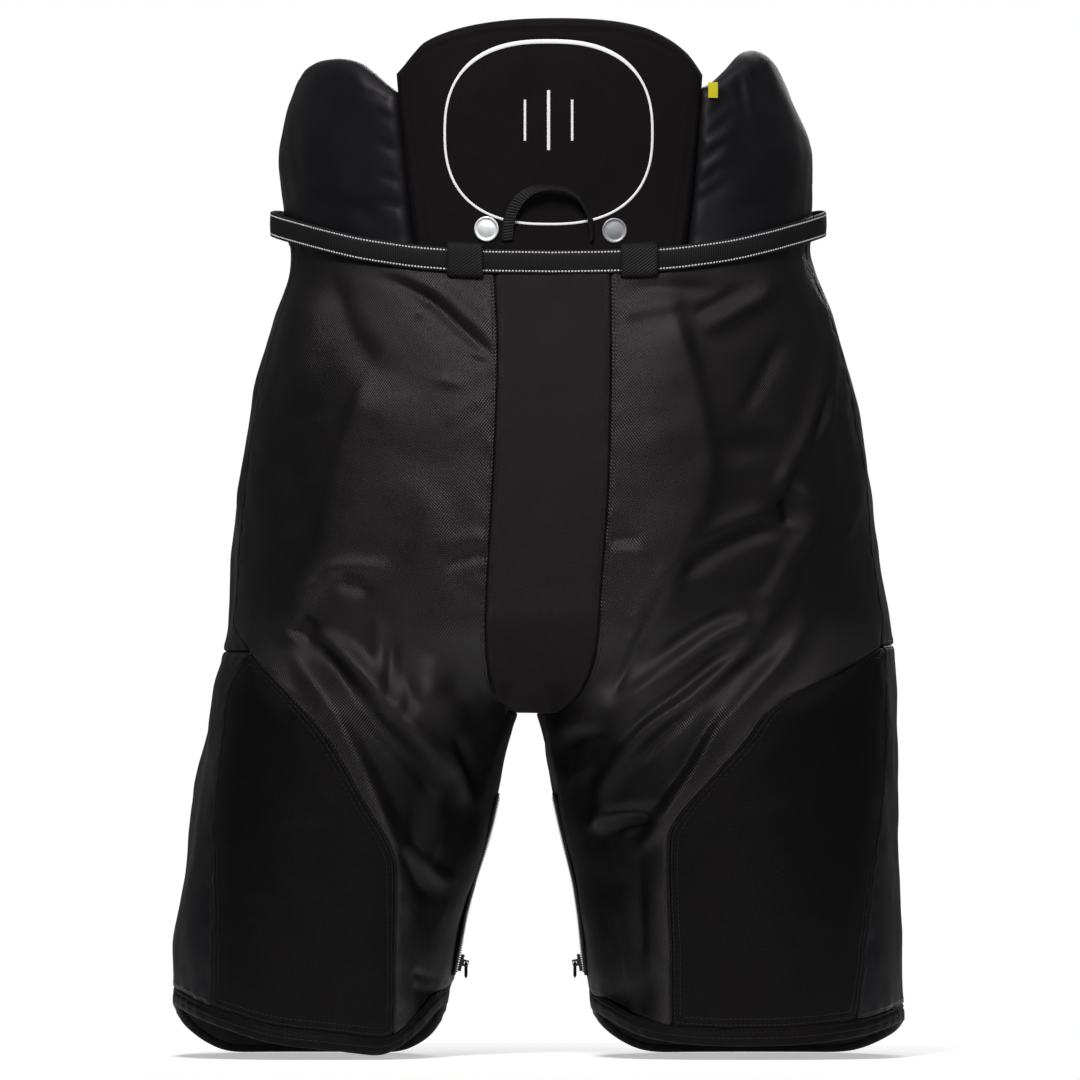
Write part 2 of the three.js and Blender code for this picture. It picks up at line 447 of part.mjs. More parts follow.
// ---------------------------------------------------------------- hanger loop
const HX = [-24.6, 29.4], HANG_Z = 521, PAD_Y = wallY(3, 521) - 1.8; // just outside the spine pad base
{
  // an arch of webbing, leaning out a little from the pad
  const cx = (HX[0] + HX[1]) / 2, half = (HX[1] - HX[0]) / 2, rise = 33;
  const lean = (z) => PAD_Y - 1.5 - (z - HANG_Z) * 0.2;
  const n = 20, points = [], index = [];
  for (let k = 0; k <= n; k++) {
    const a = Math.PI * (1 - k / n);
    const c = Math.cos(a), s = Math.sin(a);
    const sh = Math.pow(Math.abs(s), 0.85);
    for (const [w, d] of [[3.4, 0], [3.4, -1.8], [-3.4, -1.8], [-3.4, 0]]) {
      const x = cx + Math.sign(c) * Math.pow(Math.abs(c), 0.85) * (half + w);
      const z = HANG_Z + sh * (rise + w);
      points.push(new THREE.Vector3(x, lean(z) + d, z));
    }
  }
  for (let k = 0; k < n; k++)
    for (let i = 0; i < 4; i++) {
      const a = k * 4 + i, b = k * 4 + ((i + 1) % 4);
      index.push(a, b, b + 4, a, b + 4, a + 4);
    }
  index.push(0, 2, 1, 0, 3, 2);
  const o = n * 4;
  index.push(o, o + 1, o + 2, o, o + 2, o + 3);
  put("hanger_loop", geometryOf(points, index), M.webbing);
}

// ---------------------------------------------------------------- fly: a tongue behind two plackets with stitched eyelets
function flyStrip(x0, x1, z0, z1, out, inn, nu, nv) {
  return slab(
    (u, v) => { const z = lerp(z0, z1, v), x = lookup(MIDDLE, z) + lerp(x0, x1, u); return new THREE.Vector3(x, wallY(x, z, true) - out, z); },
    (u, v) => { const z = lerp(z0, z1, v), x = lookup(MIDDLE, z) + lerp(x0, x1, u); return new THREE.Vector3(x, wallY(x, z, true) - inn, z); }, nu, nv);
}
put("fly_tongue", flyStrip(-31, 31, 374, 530, 5.4, 8.2, 3, 4), M.woven);
const eyelets = [398, 430, 462, 494];
for (const [s, name] of [[-1, "left"], [1, "right"]]) {
  const strip = solid(flyStrip(Math.min(s * 6, s * 33.4), Math.max(s * 6, s * 33.4), 374, 507, 0, 3, 3, 5));
  let cut = strip;
  for (const z of eyelets) {
    const x = lookup(MIDDLE, z) + s * 17;
    cut = cut.subtract(solid(new THREE.CylinderGeometry(3.6, 3.6, 40, 10).translate(x, wallY(x, z, true), z)));
  }
  put(`fly_placket_${name}`, back(cut), M.webbing);
}
put("size_tab", slab(
  (u, v) => { const x = lerp(103, 113, u), z = lerp(608, 625, v); return new THREE.Vector3(x, wallY(x, z) - 1.9, z); },
  (u, v) => { const x = lerp(103, 113, u), z = lerp(608, 625, v); return new THREE.Vector3(x, wallY(x, z) - 1.1, z); }, 3, 2), M.label);

// ---------------------------------------------------------------- legs
for (const side of ["L", "R"]) {
  const name = side === "L" ? "left" : "right";
  const top = 262, under = hemTop(side), g = 0.006, flat = () => top;
  const inside = (u, psi) => lerp(204, top, smooth(clamp((Math.abs(psi) - 0.2) / 0.6, 0, 1)));
  put(`rear_thigh_panel_${name}`, inLeg(panel(side, thighIn(side, 0.9), thighOut(side, -0.9), under, top, 0, SHELL, 6, 8)), M.woven);
  put(`inner_thigh_panel_${name}`, inLeg(slabLeg(side, () => -62 * RAD, thighIn(side, -0.9), under, inside, 0, SHELL, 13, 8)), M.knit);
  put(`side_thigh_panel_${name}`, inLeg(panel(side, thighOut(side, 0.9), () => SIDE_FRONT - g, under, top, 0, SHELL, 4, 8)), M.nylon);
  put(`front_thigh_panel_${name}`, inLeg(slabLeg(side, () => SIDE_FRONT + g, () => 298 * RAD - g, under, flat, 0, SHELL, 8, 8)), M.knit);
  // Hem band: a folded ring round the leg opening, which the pants stand on.
  put(`hem_band_${name}`, slab(
    (u, v) => { const psi = u * 2 * Math.PI, h = hem(side, psi); return surface(side, psi, Math.max(h, 0) + v * HEM_H, -0.2); },
    (u, v) => { const psi = u * 2 * Math.PI, h = hem(side, psi); return surface(side, psi, Math.max(h, 0) + v * HEM_H, 3.4); }, 44, 1, true), M.woven);
  // Thigh guard: a moulded plate over foam at the front, and softer foam at the rear.
  put(`thigh_guard_plate_${name}`, inLeg(slabLeg(side, () => 206 * RAD, () => 296 * RAD, () => 36, () => 206, PAD_OUT, PAD_OUT + 2.2, 9, 4)), M.plate);
  put(`thigh_guard_foam_${name}`, inLeg(slabLeg(side, () => 206 * RAD, () => 296 * RAD, () => 36, () => 200, PAD_OUT + 3.6, PAD_IN, 9, 4)), M.foam);
  put(`rear_thigh_pad_${name}`, inLeg(panel(side, thighIn(side, 8), thighOut(side, -8), () => 32, 203, PAD_OUT, 14, 5, 5)), M.foam);
  put(`leg_liner_${name}`, slabLeg(side, () => 0, () => 2 * Math.PI, () => 44, () => 174, LINER_OUT + 0.6, LINER_IN + 0.4, 24, 3, true), M.liner);
  // Inner zip: two tapes closed by a row of teeth, with a slider and its pull.
  const zipPoint = (a, z, d) => surface(side, a, z, -d);
  const w = (z) => 0.12;
  put(`zip_tape_${name}`, slab(
    (u, v) => zipPoint(lerp(-0.16, 0.16, u), lerp(52, 168, v), 1.8),
    (u, v) => zipPoint(lerp(-0.16, 0.16, u), lerp(52, 168, v), 0.9), 2, 6), M.zip);
  {
    const p = zipPoint(0, 60, 2.0), q = zipPoint(0, 160, 2.0), out = side === "L" ? 1 : -1;
    const dir = q.clone().sub(p).normalize();
    // slider and pull in a frame whose Z follows the zip and whose X points out of the thigh
    const frame = new THREE.Matrix4().makeBasis(new THREE.Vector3(out, 0, 0).addScaledVector(dir, -out * dir.x).normalize(), new THREE.Vector3(0, 1, 0).multiplyScalar(out), dir.clone());
    frame.setPosition(p);
    const shoe = block(0.4, 2.6, -4.6, 4.6, -5.5, 5.5).add(block(2.4, 6.2, -1.0, 1.0, -1.8, 2.6));
    const eye = solid(new THREE.CylinderGeometry(1.25, 1.25, 12, 16).translate(4.6, 0, 0.4));
    put(`zip_slider_${name}`, back(shoe.subtract(eye)).applyMatrix4(frame), M.metal);
    const pull = block(3.8, 5.4, -3.4, 3.4, -24, 1.4).subtract(block(3, 7, -1.6, 1.6, -20.5, -12)).subtract(block(3, 7, -1.6, 1.6, -4.6, 2.0));
    const bar = solid(new THREE.CylinderGeometry(0.75, 0.75, 4.8, 12).translate(4.6, 0, 0.4));
    // the pull hangs plumb from the bar, whatever the slope of the zip
    const pivot = new THREE.Vector3(4.6, 0, 0.4).applyMatrix4(frame);
    const hang = new THREE.Matrix4().makeRotationZ(side === "L" ? 0 : Math.PI).setPosition(pivot);
    put(`zip_pull_${name}`, back(pull.add(bar)).translate(-4.6, 0, -0.4).applyMatrix4(hang), M.metal);
  }
}
// A panel on a leg tube, between angles a and b that may pass the inner wall.
function slabLeg(side, a, b, lo, hi, out, inn, nu, nv, ring = false) {
  const grid = (d) => (u, v) => {
    const p0 = lerp(a(100), b(100), u);
    let z = lerp(lo(p0), hi(u, p0), v);
    const psi = lerp(a(z), b(z), u);
    z = lerp(lo(psi), hi(u, p0), v);
    return surface(side, psi, z, d);
  };
  return slab(grid(out), grid(inn), nu, nv, ring);
}

export default root;
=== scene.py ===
"""Ice hockey pants, seen from behind. The fabric, padding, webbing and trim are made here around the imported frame.

Draft coordinates are millimetres in the CAD's drafting origin; SHIFT moves them into the frame.
psi goes round one side of the garment: 0 inner wall, 90 back, 180 outer side, 270 front.
"""

import math

import bpy
import numpy as np
from mathutils import Matrix, Vector


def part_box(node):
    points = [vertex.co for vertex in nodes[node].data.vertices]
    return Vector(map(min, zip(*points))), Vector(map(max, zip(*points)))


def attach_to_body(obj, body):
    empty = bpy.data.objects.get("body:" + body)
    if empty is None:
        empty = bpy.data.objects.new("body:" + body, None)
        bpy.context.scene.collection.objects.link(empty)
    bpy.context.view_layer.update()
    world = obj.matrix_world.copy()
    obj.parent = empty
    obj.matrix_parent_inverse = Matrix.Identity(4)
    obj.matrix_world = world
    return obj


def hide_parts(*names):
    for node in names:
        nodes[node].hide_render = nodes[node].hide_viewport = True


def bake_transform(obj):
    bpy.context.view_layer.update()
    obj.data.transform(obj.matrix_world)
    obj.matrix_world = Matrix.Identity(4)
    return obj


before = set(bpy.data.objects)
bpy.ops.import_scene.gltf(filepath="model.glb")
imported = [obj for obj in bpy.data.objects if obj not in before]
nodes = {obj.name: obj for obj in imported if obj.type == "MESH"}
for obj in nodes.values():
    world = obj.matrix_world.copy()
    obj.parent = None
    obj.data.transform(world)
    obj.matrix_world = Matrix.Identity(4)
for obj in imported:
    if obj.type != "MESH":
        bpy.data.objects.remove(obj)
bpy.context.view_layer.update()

SHIFT = np.array([4.55, 4.75, 0.0])
PI = math.pi
RAD = PI / 180
SPREAD = 25 * RAD
FULL = 2 * PI - 2 * SPREAD
TURN = 19.5 * RAD
CROTCH = 220.5
SIDE_REAR, SIDE_FRONT = 158 * RAD, 212 * RAD


# ------------------------------------------------------------------ outline tables
class Line:
    """A cubic through (height, value) rows, flat beyond its ends."""

    def __init__(self, rows):
        a = np.array(rows, float)
        self.k, self.v = a[:, 0], a[:, 1]
        k, v = self.k, self.v
        m = np.zeros(len(k))
        m[0] = (v[1] - v[0]) / (k[1] - k[0])
        m[-1] = (v[-1] - v[-2]) / (k[-1] - k[-2])
        if len(k) > 2:
            m[1:-1] = (v[2:] - v[:-2]) / (k[2:] - k[:-2])
        self.m = m

    def __call__(self, z):
        z = np.asarray(z, float)
        k, v, m = self.k, self.v, self.m
        i = np.clip(np.searchsorted(k, z, side="right") - 1, 0, len(k) - 2)
        h = k[i + 1] - k[i]
        t = np.clip((z - k[i]) / h, 0, 1)
        t2, t3 = t * t, t * t * t
        return (
            (2 * t3 - 3 * t2 + 1) * v[i]
            + (t3 - 2 * t2 + t) * h * m[i]
            + (-2 * t3 + 3 * t2) * v[i + 1]
            + (t3 - t2) * h * m[i + 1]
        )


OUTER = {
    "L": Line([[0, -238], [40, -238.6], [75, -238.4], [100, -235], [125, -230], [164, -224.6], [202, -218.2], [228, -215], [241, -213], [253, -209.5], [266, -206], [279, -203.4], [292, -201.8], [318, -200], [343, -197.8], [369, -196.5], [394, -193], [420, -188], [445, -182], [471, -175], [490, -168.5], [503, -165], [515, -164.6], [540, -167.2], [565, -169.5], [580, -169.5], [594, -167], [609, -163], [624, -159], [640, -153], [665, -146]]),
    "R": Line([[0, 230], [48, 228.6], [87, 228], [112, 226.6], [138, 225.4], [177, 224], [215, 223.6], [241, 223.6], [254, 222.4], [279, 218.9], [292, 217], [318, 213.2], [343, 210.6], [369, 207.4], [394, 203.5], [420, 198.4], [445, 192.4], [471, 185], [490, 178.4], [503, 173], [515, 169.6], [548, 169.6], [575, 169.6], [590, 166], [609, 158.8], [625, 153.6], [640, 148], [665, 141]]),
}
INNER = {
    "L": Line([[0, -66], [36, -63], [61, -57.6], [87, -53], [112, -46.7], [138, -38.4], [160, -33], [190, -27], [215, -20.5], [235, -16], [290, -12]]),
    "R": Line([[0, 34], [36, 28.5], [61, 25], [87, 22.4], [112, 18.6], [138, 12.2], [164, 6.4], [190, 1.6], [215, -2.6], [235, -7], [290, -10]]),
}
MIDDLE = Line([[0, -11], [215, -11], [260, -9], [330, -4], [420, 1], [500, 3], [560, 2.5], [665, 1.5]])
BACK = Line([[0, 117], [80, 121], [150, 125], [215, 129], [280, 135], [340, 138.5], [400, 136], [450, 128], [490, 118], [515, 112], [560, 114], [620, 119], [665, 122]])
FRONT = Line([[0, 126], [80, 128], [150, 129], [215, 129], [280, 127], [340, 125], [400, 121], [450, 116], [490, 110], [515, 106], [560, 106], [665, 106]])
# Rear and front centre strips: left and right edges.
STRIP = {
    "L": Line([[200, -15], [213, -17.5], [220, -22], [234, -32.6], [260, -37.8], [292, -37.8], [388, -32.6], [455, -30.7], [500, -32.8]]),
    "R": Line([[200, 0], [213, 2], [220, 8], [234, 21.8], [260, 31.4], [298, 34.6], [356, 39], [432, 41], [500, 41]]),
}
FRONT_HALF = Line([[213, 9], [219, 13], [235, 24], [270, 32], [330, 34], [520, 34]])
THIGH_IN = {
    "L": Line([[0, -100], [20, -97], [60, -95.5], [112, -95.5], [129, -97], [165, -117], [202, -138], [225, -157], [258, -189]]),
    "R": Line([[0, 80], [60, 79.5], [141, 78], [156, 86], [170, 98], [202, 127], [225, 146], [250, 194], [262, 214]]),
}
THIGH_OUT = {
    "L": Line([[0, -214], [68, -213], [145, -211.8], [209, -207], [234, -203], [260, -188]]),
    "R": Line([[0, 194], [23, 197.8], [113, 208.6], [166, 215], [228, 217], [262, 216]]),
}
HEM = {
    "L": Line([[0, 36], [25, 28], [45, 12], [60, 3], [75, 4], [100, 10], [120, 18], [140, 25], [160, 31], [180, 32], [205, 17], [230, 3], [245, 0], [300, 0], [315, 3], [335, 14], [360, 34]]),
    "R": Line([[0, 32], [25, 25], [50, 14], [75, 9], [100, 9], [130, 14], [160, 21], [180, 22], [205, 12], [230, 2], [245, 0], [300, 0], [315, 3], [335, 14], [360, 30]]),
}
SPINE_SIDE = {
    "L": Line([[490, -80], [545, -87], [590, -91.5], [625, -95], [665, -97]]),
    "R": Line([[490, 86], [545, 93], [590, 97], [625, 99.5], [665, 101]]),
}
SPINE_TOP = Line([[-97, 619], [-94.7, 624], [-87.7, 632], [-81.9, 639], [-74, 647], [-55, 655], [-30, 660], [0, 662], [35, 661], [60, 656.5], [76, 649], [87.7, 640], [94, 632], [99, 624], [101, 619]])
KIDNEY_TOP = {
    "L": Line([[0.16, 612], [0.18, 615], [0.24, 628], [0.294, 635.5], [0.385, 637], [0.46, 633], [0.5, 620], [0.56, 600], [0.66, 579], [0.78, 564], [0.88, 560], [0.97, 557]]),
    "R": Line([[0.16, 616], [0.216, 619.5], [0.28, 630], [0.35, 640], [0.405, 642.5], [0.44, 634], [0.475, 614], [0.55, 594], [0.66, 576], [0.78, 564], [0.88, 560], [0.97, 557]]),
}
BELT_T = Line([[0, 507], [0.1, 508.5], [0.2, 514], [0.35, 525], [0.5, 533], [0.65, 531], [0.8, 526], [1, 524]])
SIGN = {"L": -1.0, "R": 1.0}
NAME = {"L": "left", "R": "right"}


def smooth(t):
    t = np.clip(t, 0, 1)
    return t * t * (3 - 2 * t)


def lerp(a, b, t):
    return a + (b - a) * t


def power(v):
    return np.sign(v) * np.abs(v) ** 0.8


def leg_point(side, psi, z):
    xo, xi = OUTER[side](z), INNER[side](z)
    s, c = np.sin(psi), np.cos(psi)
    y = np.where(s > 0, -BACK(z) * power(s), -FRONT(z) * power(s))
    return (xo + xi) / 2 + (xi - xo) / 2 * power(c), y


def torso_point(side, psi, z):
    phi = PI * np.clip((psi - SPREAD) / FULL, 0, 1)
    xm, xo, c = MIDDLE(z), OUTER[side](z), np.cos(phi)
    return xm + (xo - xm) * power(np.sin(phi)), np.where(c > 0, -BACK(z) * power(c), -FRONT(z) * power(c))


def merge(z):
    return smooth((z - CROTCH) / (285 - CROTCH)) ** 0.78


def raw(side, psi, z):
    w = merge(z)
    ax, ay = leg_point(side, psi, z)
    bx, by = torso_point(side, psi, z)
    return lerp(ax, bx, w), lerp(ay, by, w)


def normal(side, psi, z):
    e = 0.02
    m = merge(z) > 0
    end = 2 * PI - SPREAD
    a = raw(side, np.where(m & (psi >= SPREAD), np.maximum(psi - e, SPREAD), psi - e), z)
    b = raw(side, np.where(m & (psi <= end), np.minimum(psi + e, end), psi + e), z)
    nx, ny = b[1] - a[1], -(b[0] - a[0])
    if side == "L":
        nx, ny = -nx, -ny
    l = np.hypot(nx, ny)
    l = np.where(l < 1e-9, 1, l)
    return nx / l, ny / l


def surface(side, psi, z, d=0.0):
    """(points, outward normals) of the master surface, d millimetres inside it."""
    psi, z = np.broadcast_arrays(np.asarray(psi, float), np.asarray(z, float))
    x, y = raw(side, psi, z)
    nx, ny = normal(side, psi, z)
    p = np.stack([x - nx * d, y - ny * d, z + 0 * x], -1)
    n = np.stack([nx, ny, 0 * nx], -1)
    return p, n


def angle_at(side, x, z, front=False):
    x, z = np.broadcast_arrays(np.asarray(x, float), np.asarray(z, float))
    near = SPREAD * smooth((z - CROTCH) / 40)
    if front:
        lo = np.full(z.shape, PI)
        hi = 2 * PI - near
    else:
        lo = near
        hi = np.full(z.shape, PI)
    f = lambda a: raw(side, a, z)[0] - x
    flo, fhi = f(lo), f(hi)
    none = flo * fhi > 0
    end = np.where(np.abs(flo) < np.abs(fhi), lo, hi)
    a, b = lo.copy(), hi.copy()
    for _ in range(34):
        mid = (a + b) / 2
        up = f(mid) * flo > 0
        a, b = np.where(up, mid, a), np.where(up, b, mid)
    return np.where(none, end, (a + b) / 2)


def wall_y(x, z, front=False):
    x, z = np.broadcast_arrays(np.asarray(x, float), np.asarray(z, float))
    out = np.zeros(x.shape)
    for side in "LR":
        mine = (x < MIDDLE(z)) if side == "L" else (x >= MIDDLE(z))
        edge = 2 * PI - SPREAD if front else SPREAD
        sx, sy = raw(side, np.full(x.shape, edge), z)
        within = (x > sx) if side == "L" else (x < sx)
        y = raw(side, angle_at(side, x, z, front), z)[1]
        out = np.where(mine, np.where(within, sy, y), out)
    return out


class ByHeight:
    """An angle given by height, tabulated once."""

    def __init__(self, f, lo=-5, hi=680, n=900):
        self.z = np.linspace(lo, hi, n)
        self.a = f(self.z)

    def __call__(self, z):
        return np.interp(z, self.z, self.a)


def strip_edge(side):
    return ByHeight(lambda z: np.maximum(TURN, angle_at(side, STRIP[side](z), z)))


def front_strip_edge(side):
    return ByHeight(lambda z: np.minimum(2 * PI - TURN, angle_at(side, MIDDLE(z) + SIGN[side] * FRONT_HALF(z), z, True)))


def waist(psi):
    t = np.clip((psi - SPREAD) / FULL, 0, 1)
    return np.where(t < 0.5, lerp(495, 515, smooth(t * 2)), lerp(515, 508, smooth(t * 2 - 1)))


def hem(side, psi):
    return np.maximum(HEM[side](np.mod(psi / RAD, 360)), 0)


# ------------------------------------------------------------------ folds
def mm(points):
    """Drawing-grid points to draft millimetres."""
    a = np.array(points, float)
    return np.stack([(a[:, 0] - 546) * 0.64, (1056 - a[:, 1]) * 0.64], -1)


def curve_through(p, step=4.0):
    """A smooth curve through points."""
    if len(p) < 3:
        return p
    q = np.vstack([2 * p[0] - p[1], p, 2 * p[-1] - p[-2]])
    out = []
    for i in range(1, len(q) - 2):
        n = max(2, int(np.linalg.norm(q[i + 1] - q[i]) / step))
        t = np.linspace(0, 1, n, endpoint=False)[:, None]
        out.append(0.5 * ((2 * q[i]) + (-q[i - 1] + q[i + 1]) * t + (2 * q[i - 1] - 5 * q[i] + 4 * q[i + 1] - q[i + 2]) * t**2 + (-q[i - 1] + 3 * q[i] - 3 * q[i + 1] + q[i + 2]) * t**3))
    out.append(q[-2][None])
    return np.vstack(out)


def fold(x, z, line, amount, left, right, taper=0.25, start=None, end=None):
    """Height of one fold at (x, z): a rounded crest (or trough) along a line, with its own width on each side."""
    reach = 3.2 * max(left, right)
    lo, hi = line.min(0) - reach, line.max(0) + reach
    out = np.zeros(x.shape)
    near = (x > lo[0]) & (x < hi[0]) & (z > lo[1]) & (z < hi[1])
    if not near.any():
        return out
    p = np.stack([x[near], z[near]], -1)
    best = np.full(len(p), 1e9)
    sign = np.ones(len(p))
    along = np.zeros(len(p))
    seg = np.linalg.norm(line[1:] - line[:-1], axis=1)
    total = seg.sum()
    run = 0.0
    for a, b, l in zip(line[:-1], line[1:], seg):
        d = b - a
        r = p - a
        t = np.clip((r @ d) / (l * l), 0, 1)
        c = r - t[:, None] * d
        dist = np.hypot(c[:, 0], c[:, 1])
        closer = dist < best
        best = np.where(closer, dist, best)
        cross = d[0] * r[:, 1] - d[1] * r[:, 0]
        sign = np.where(closer, np.where(cross > 0, 1.0, -1.0), sign)
        along = np.where(closer, (run + t * l) / total, along)
        run += l
    width = np.where(sign > 0, left, right)
    s = start if start is not None else taper
    e = end if end is not None else taper
    fade = np.ones(len(p))
    if s > 0:
        fade *= smooth((along + 0.02) / s)
    if e > 0:
        fade *= smooth((1.02 - along) / e)
    out[near] = amount * np.exp(-((best / width) ** 2)) * fade
    return out


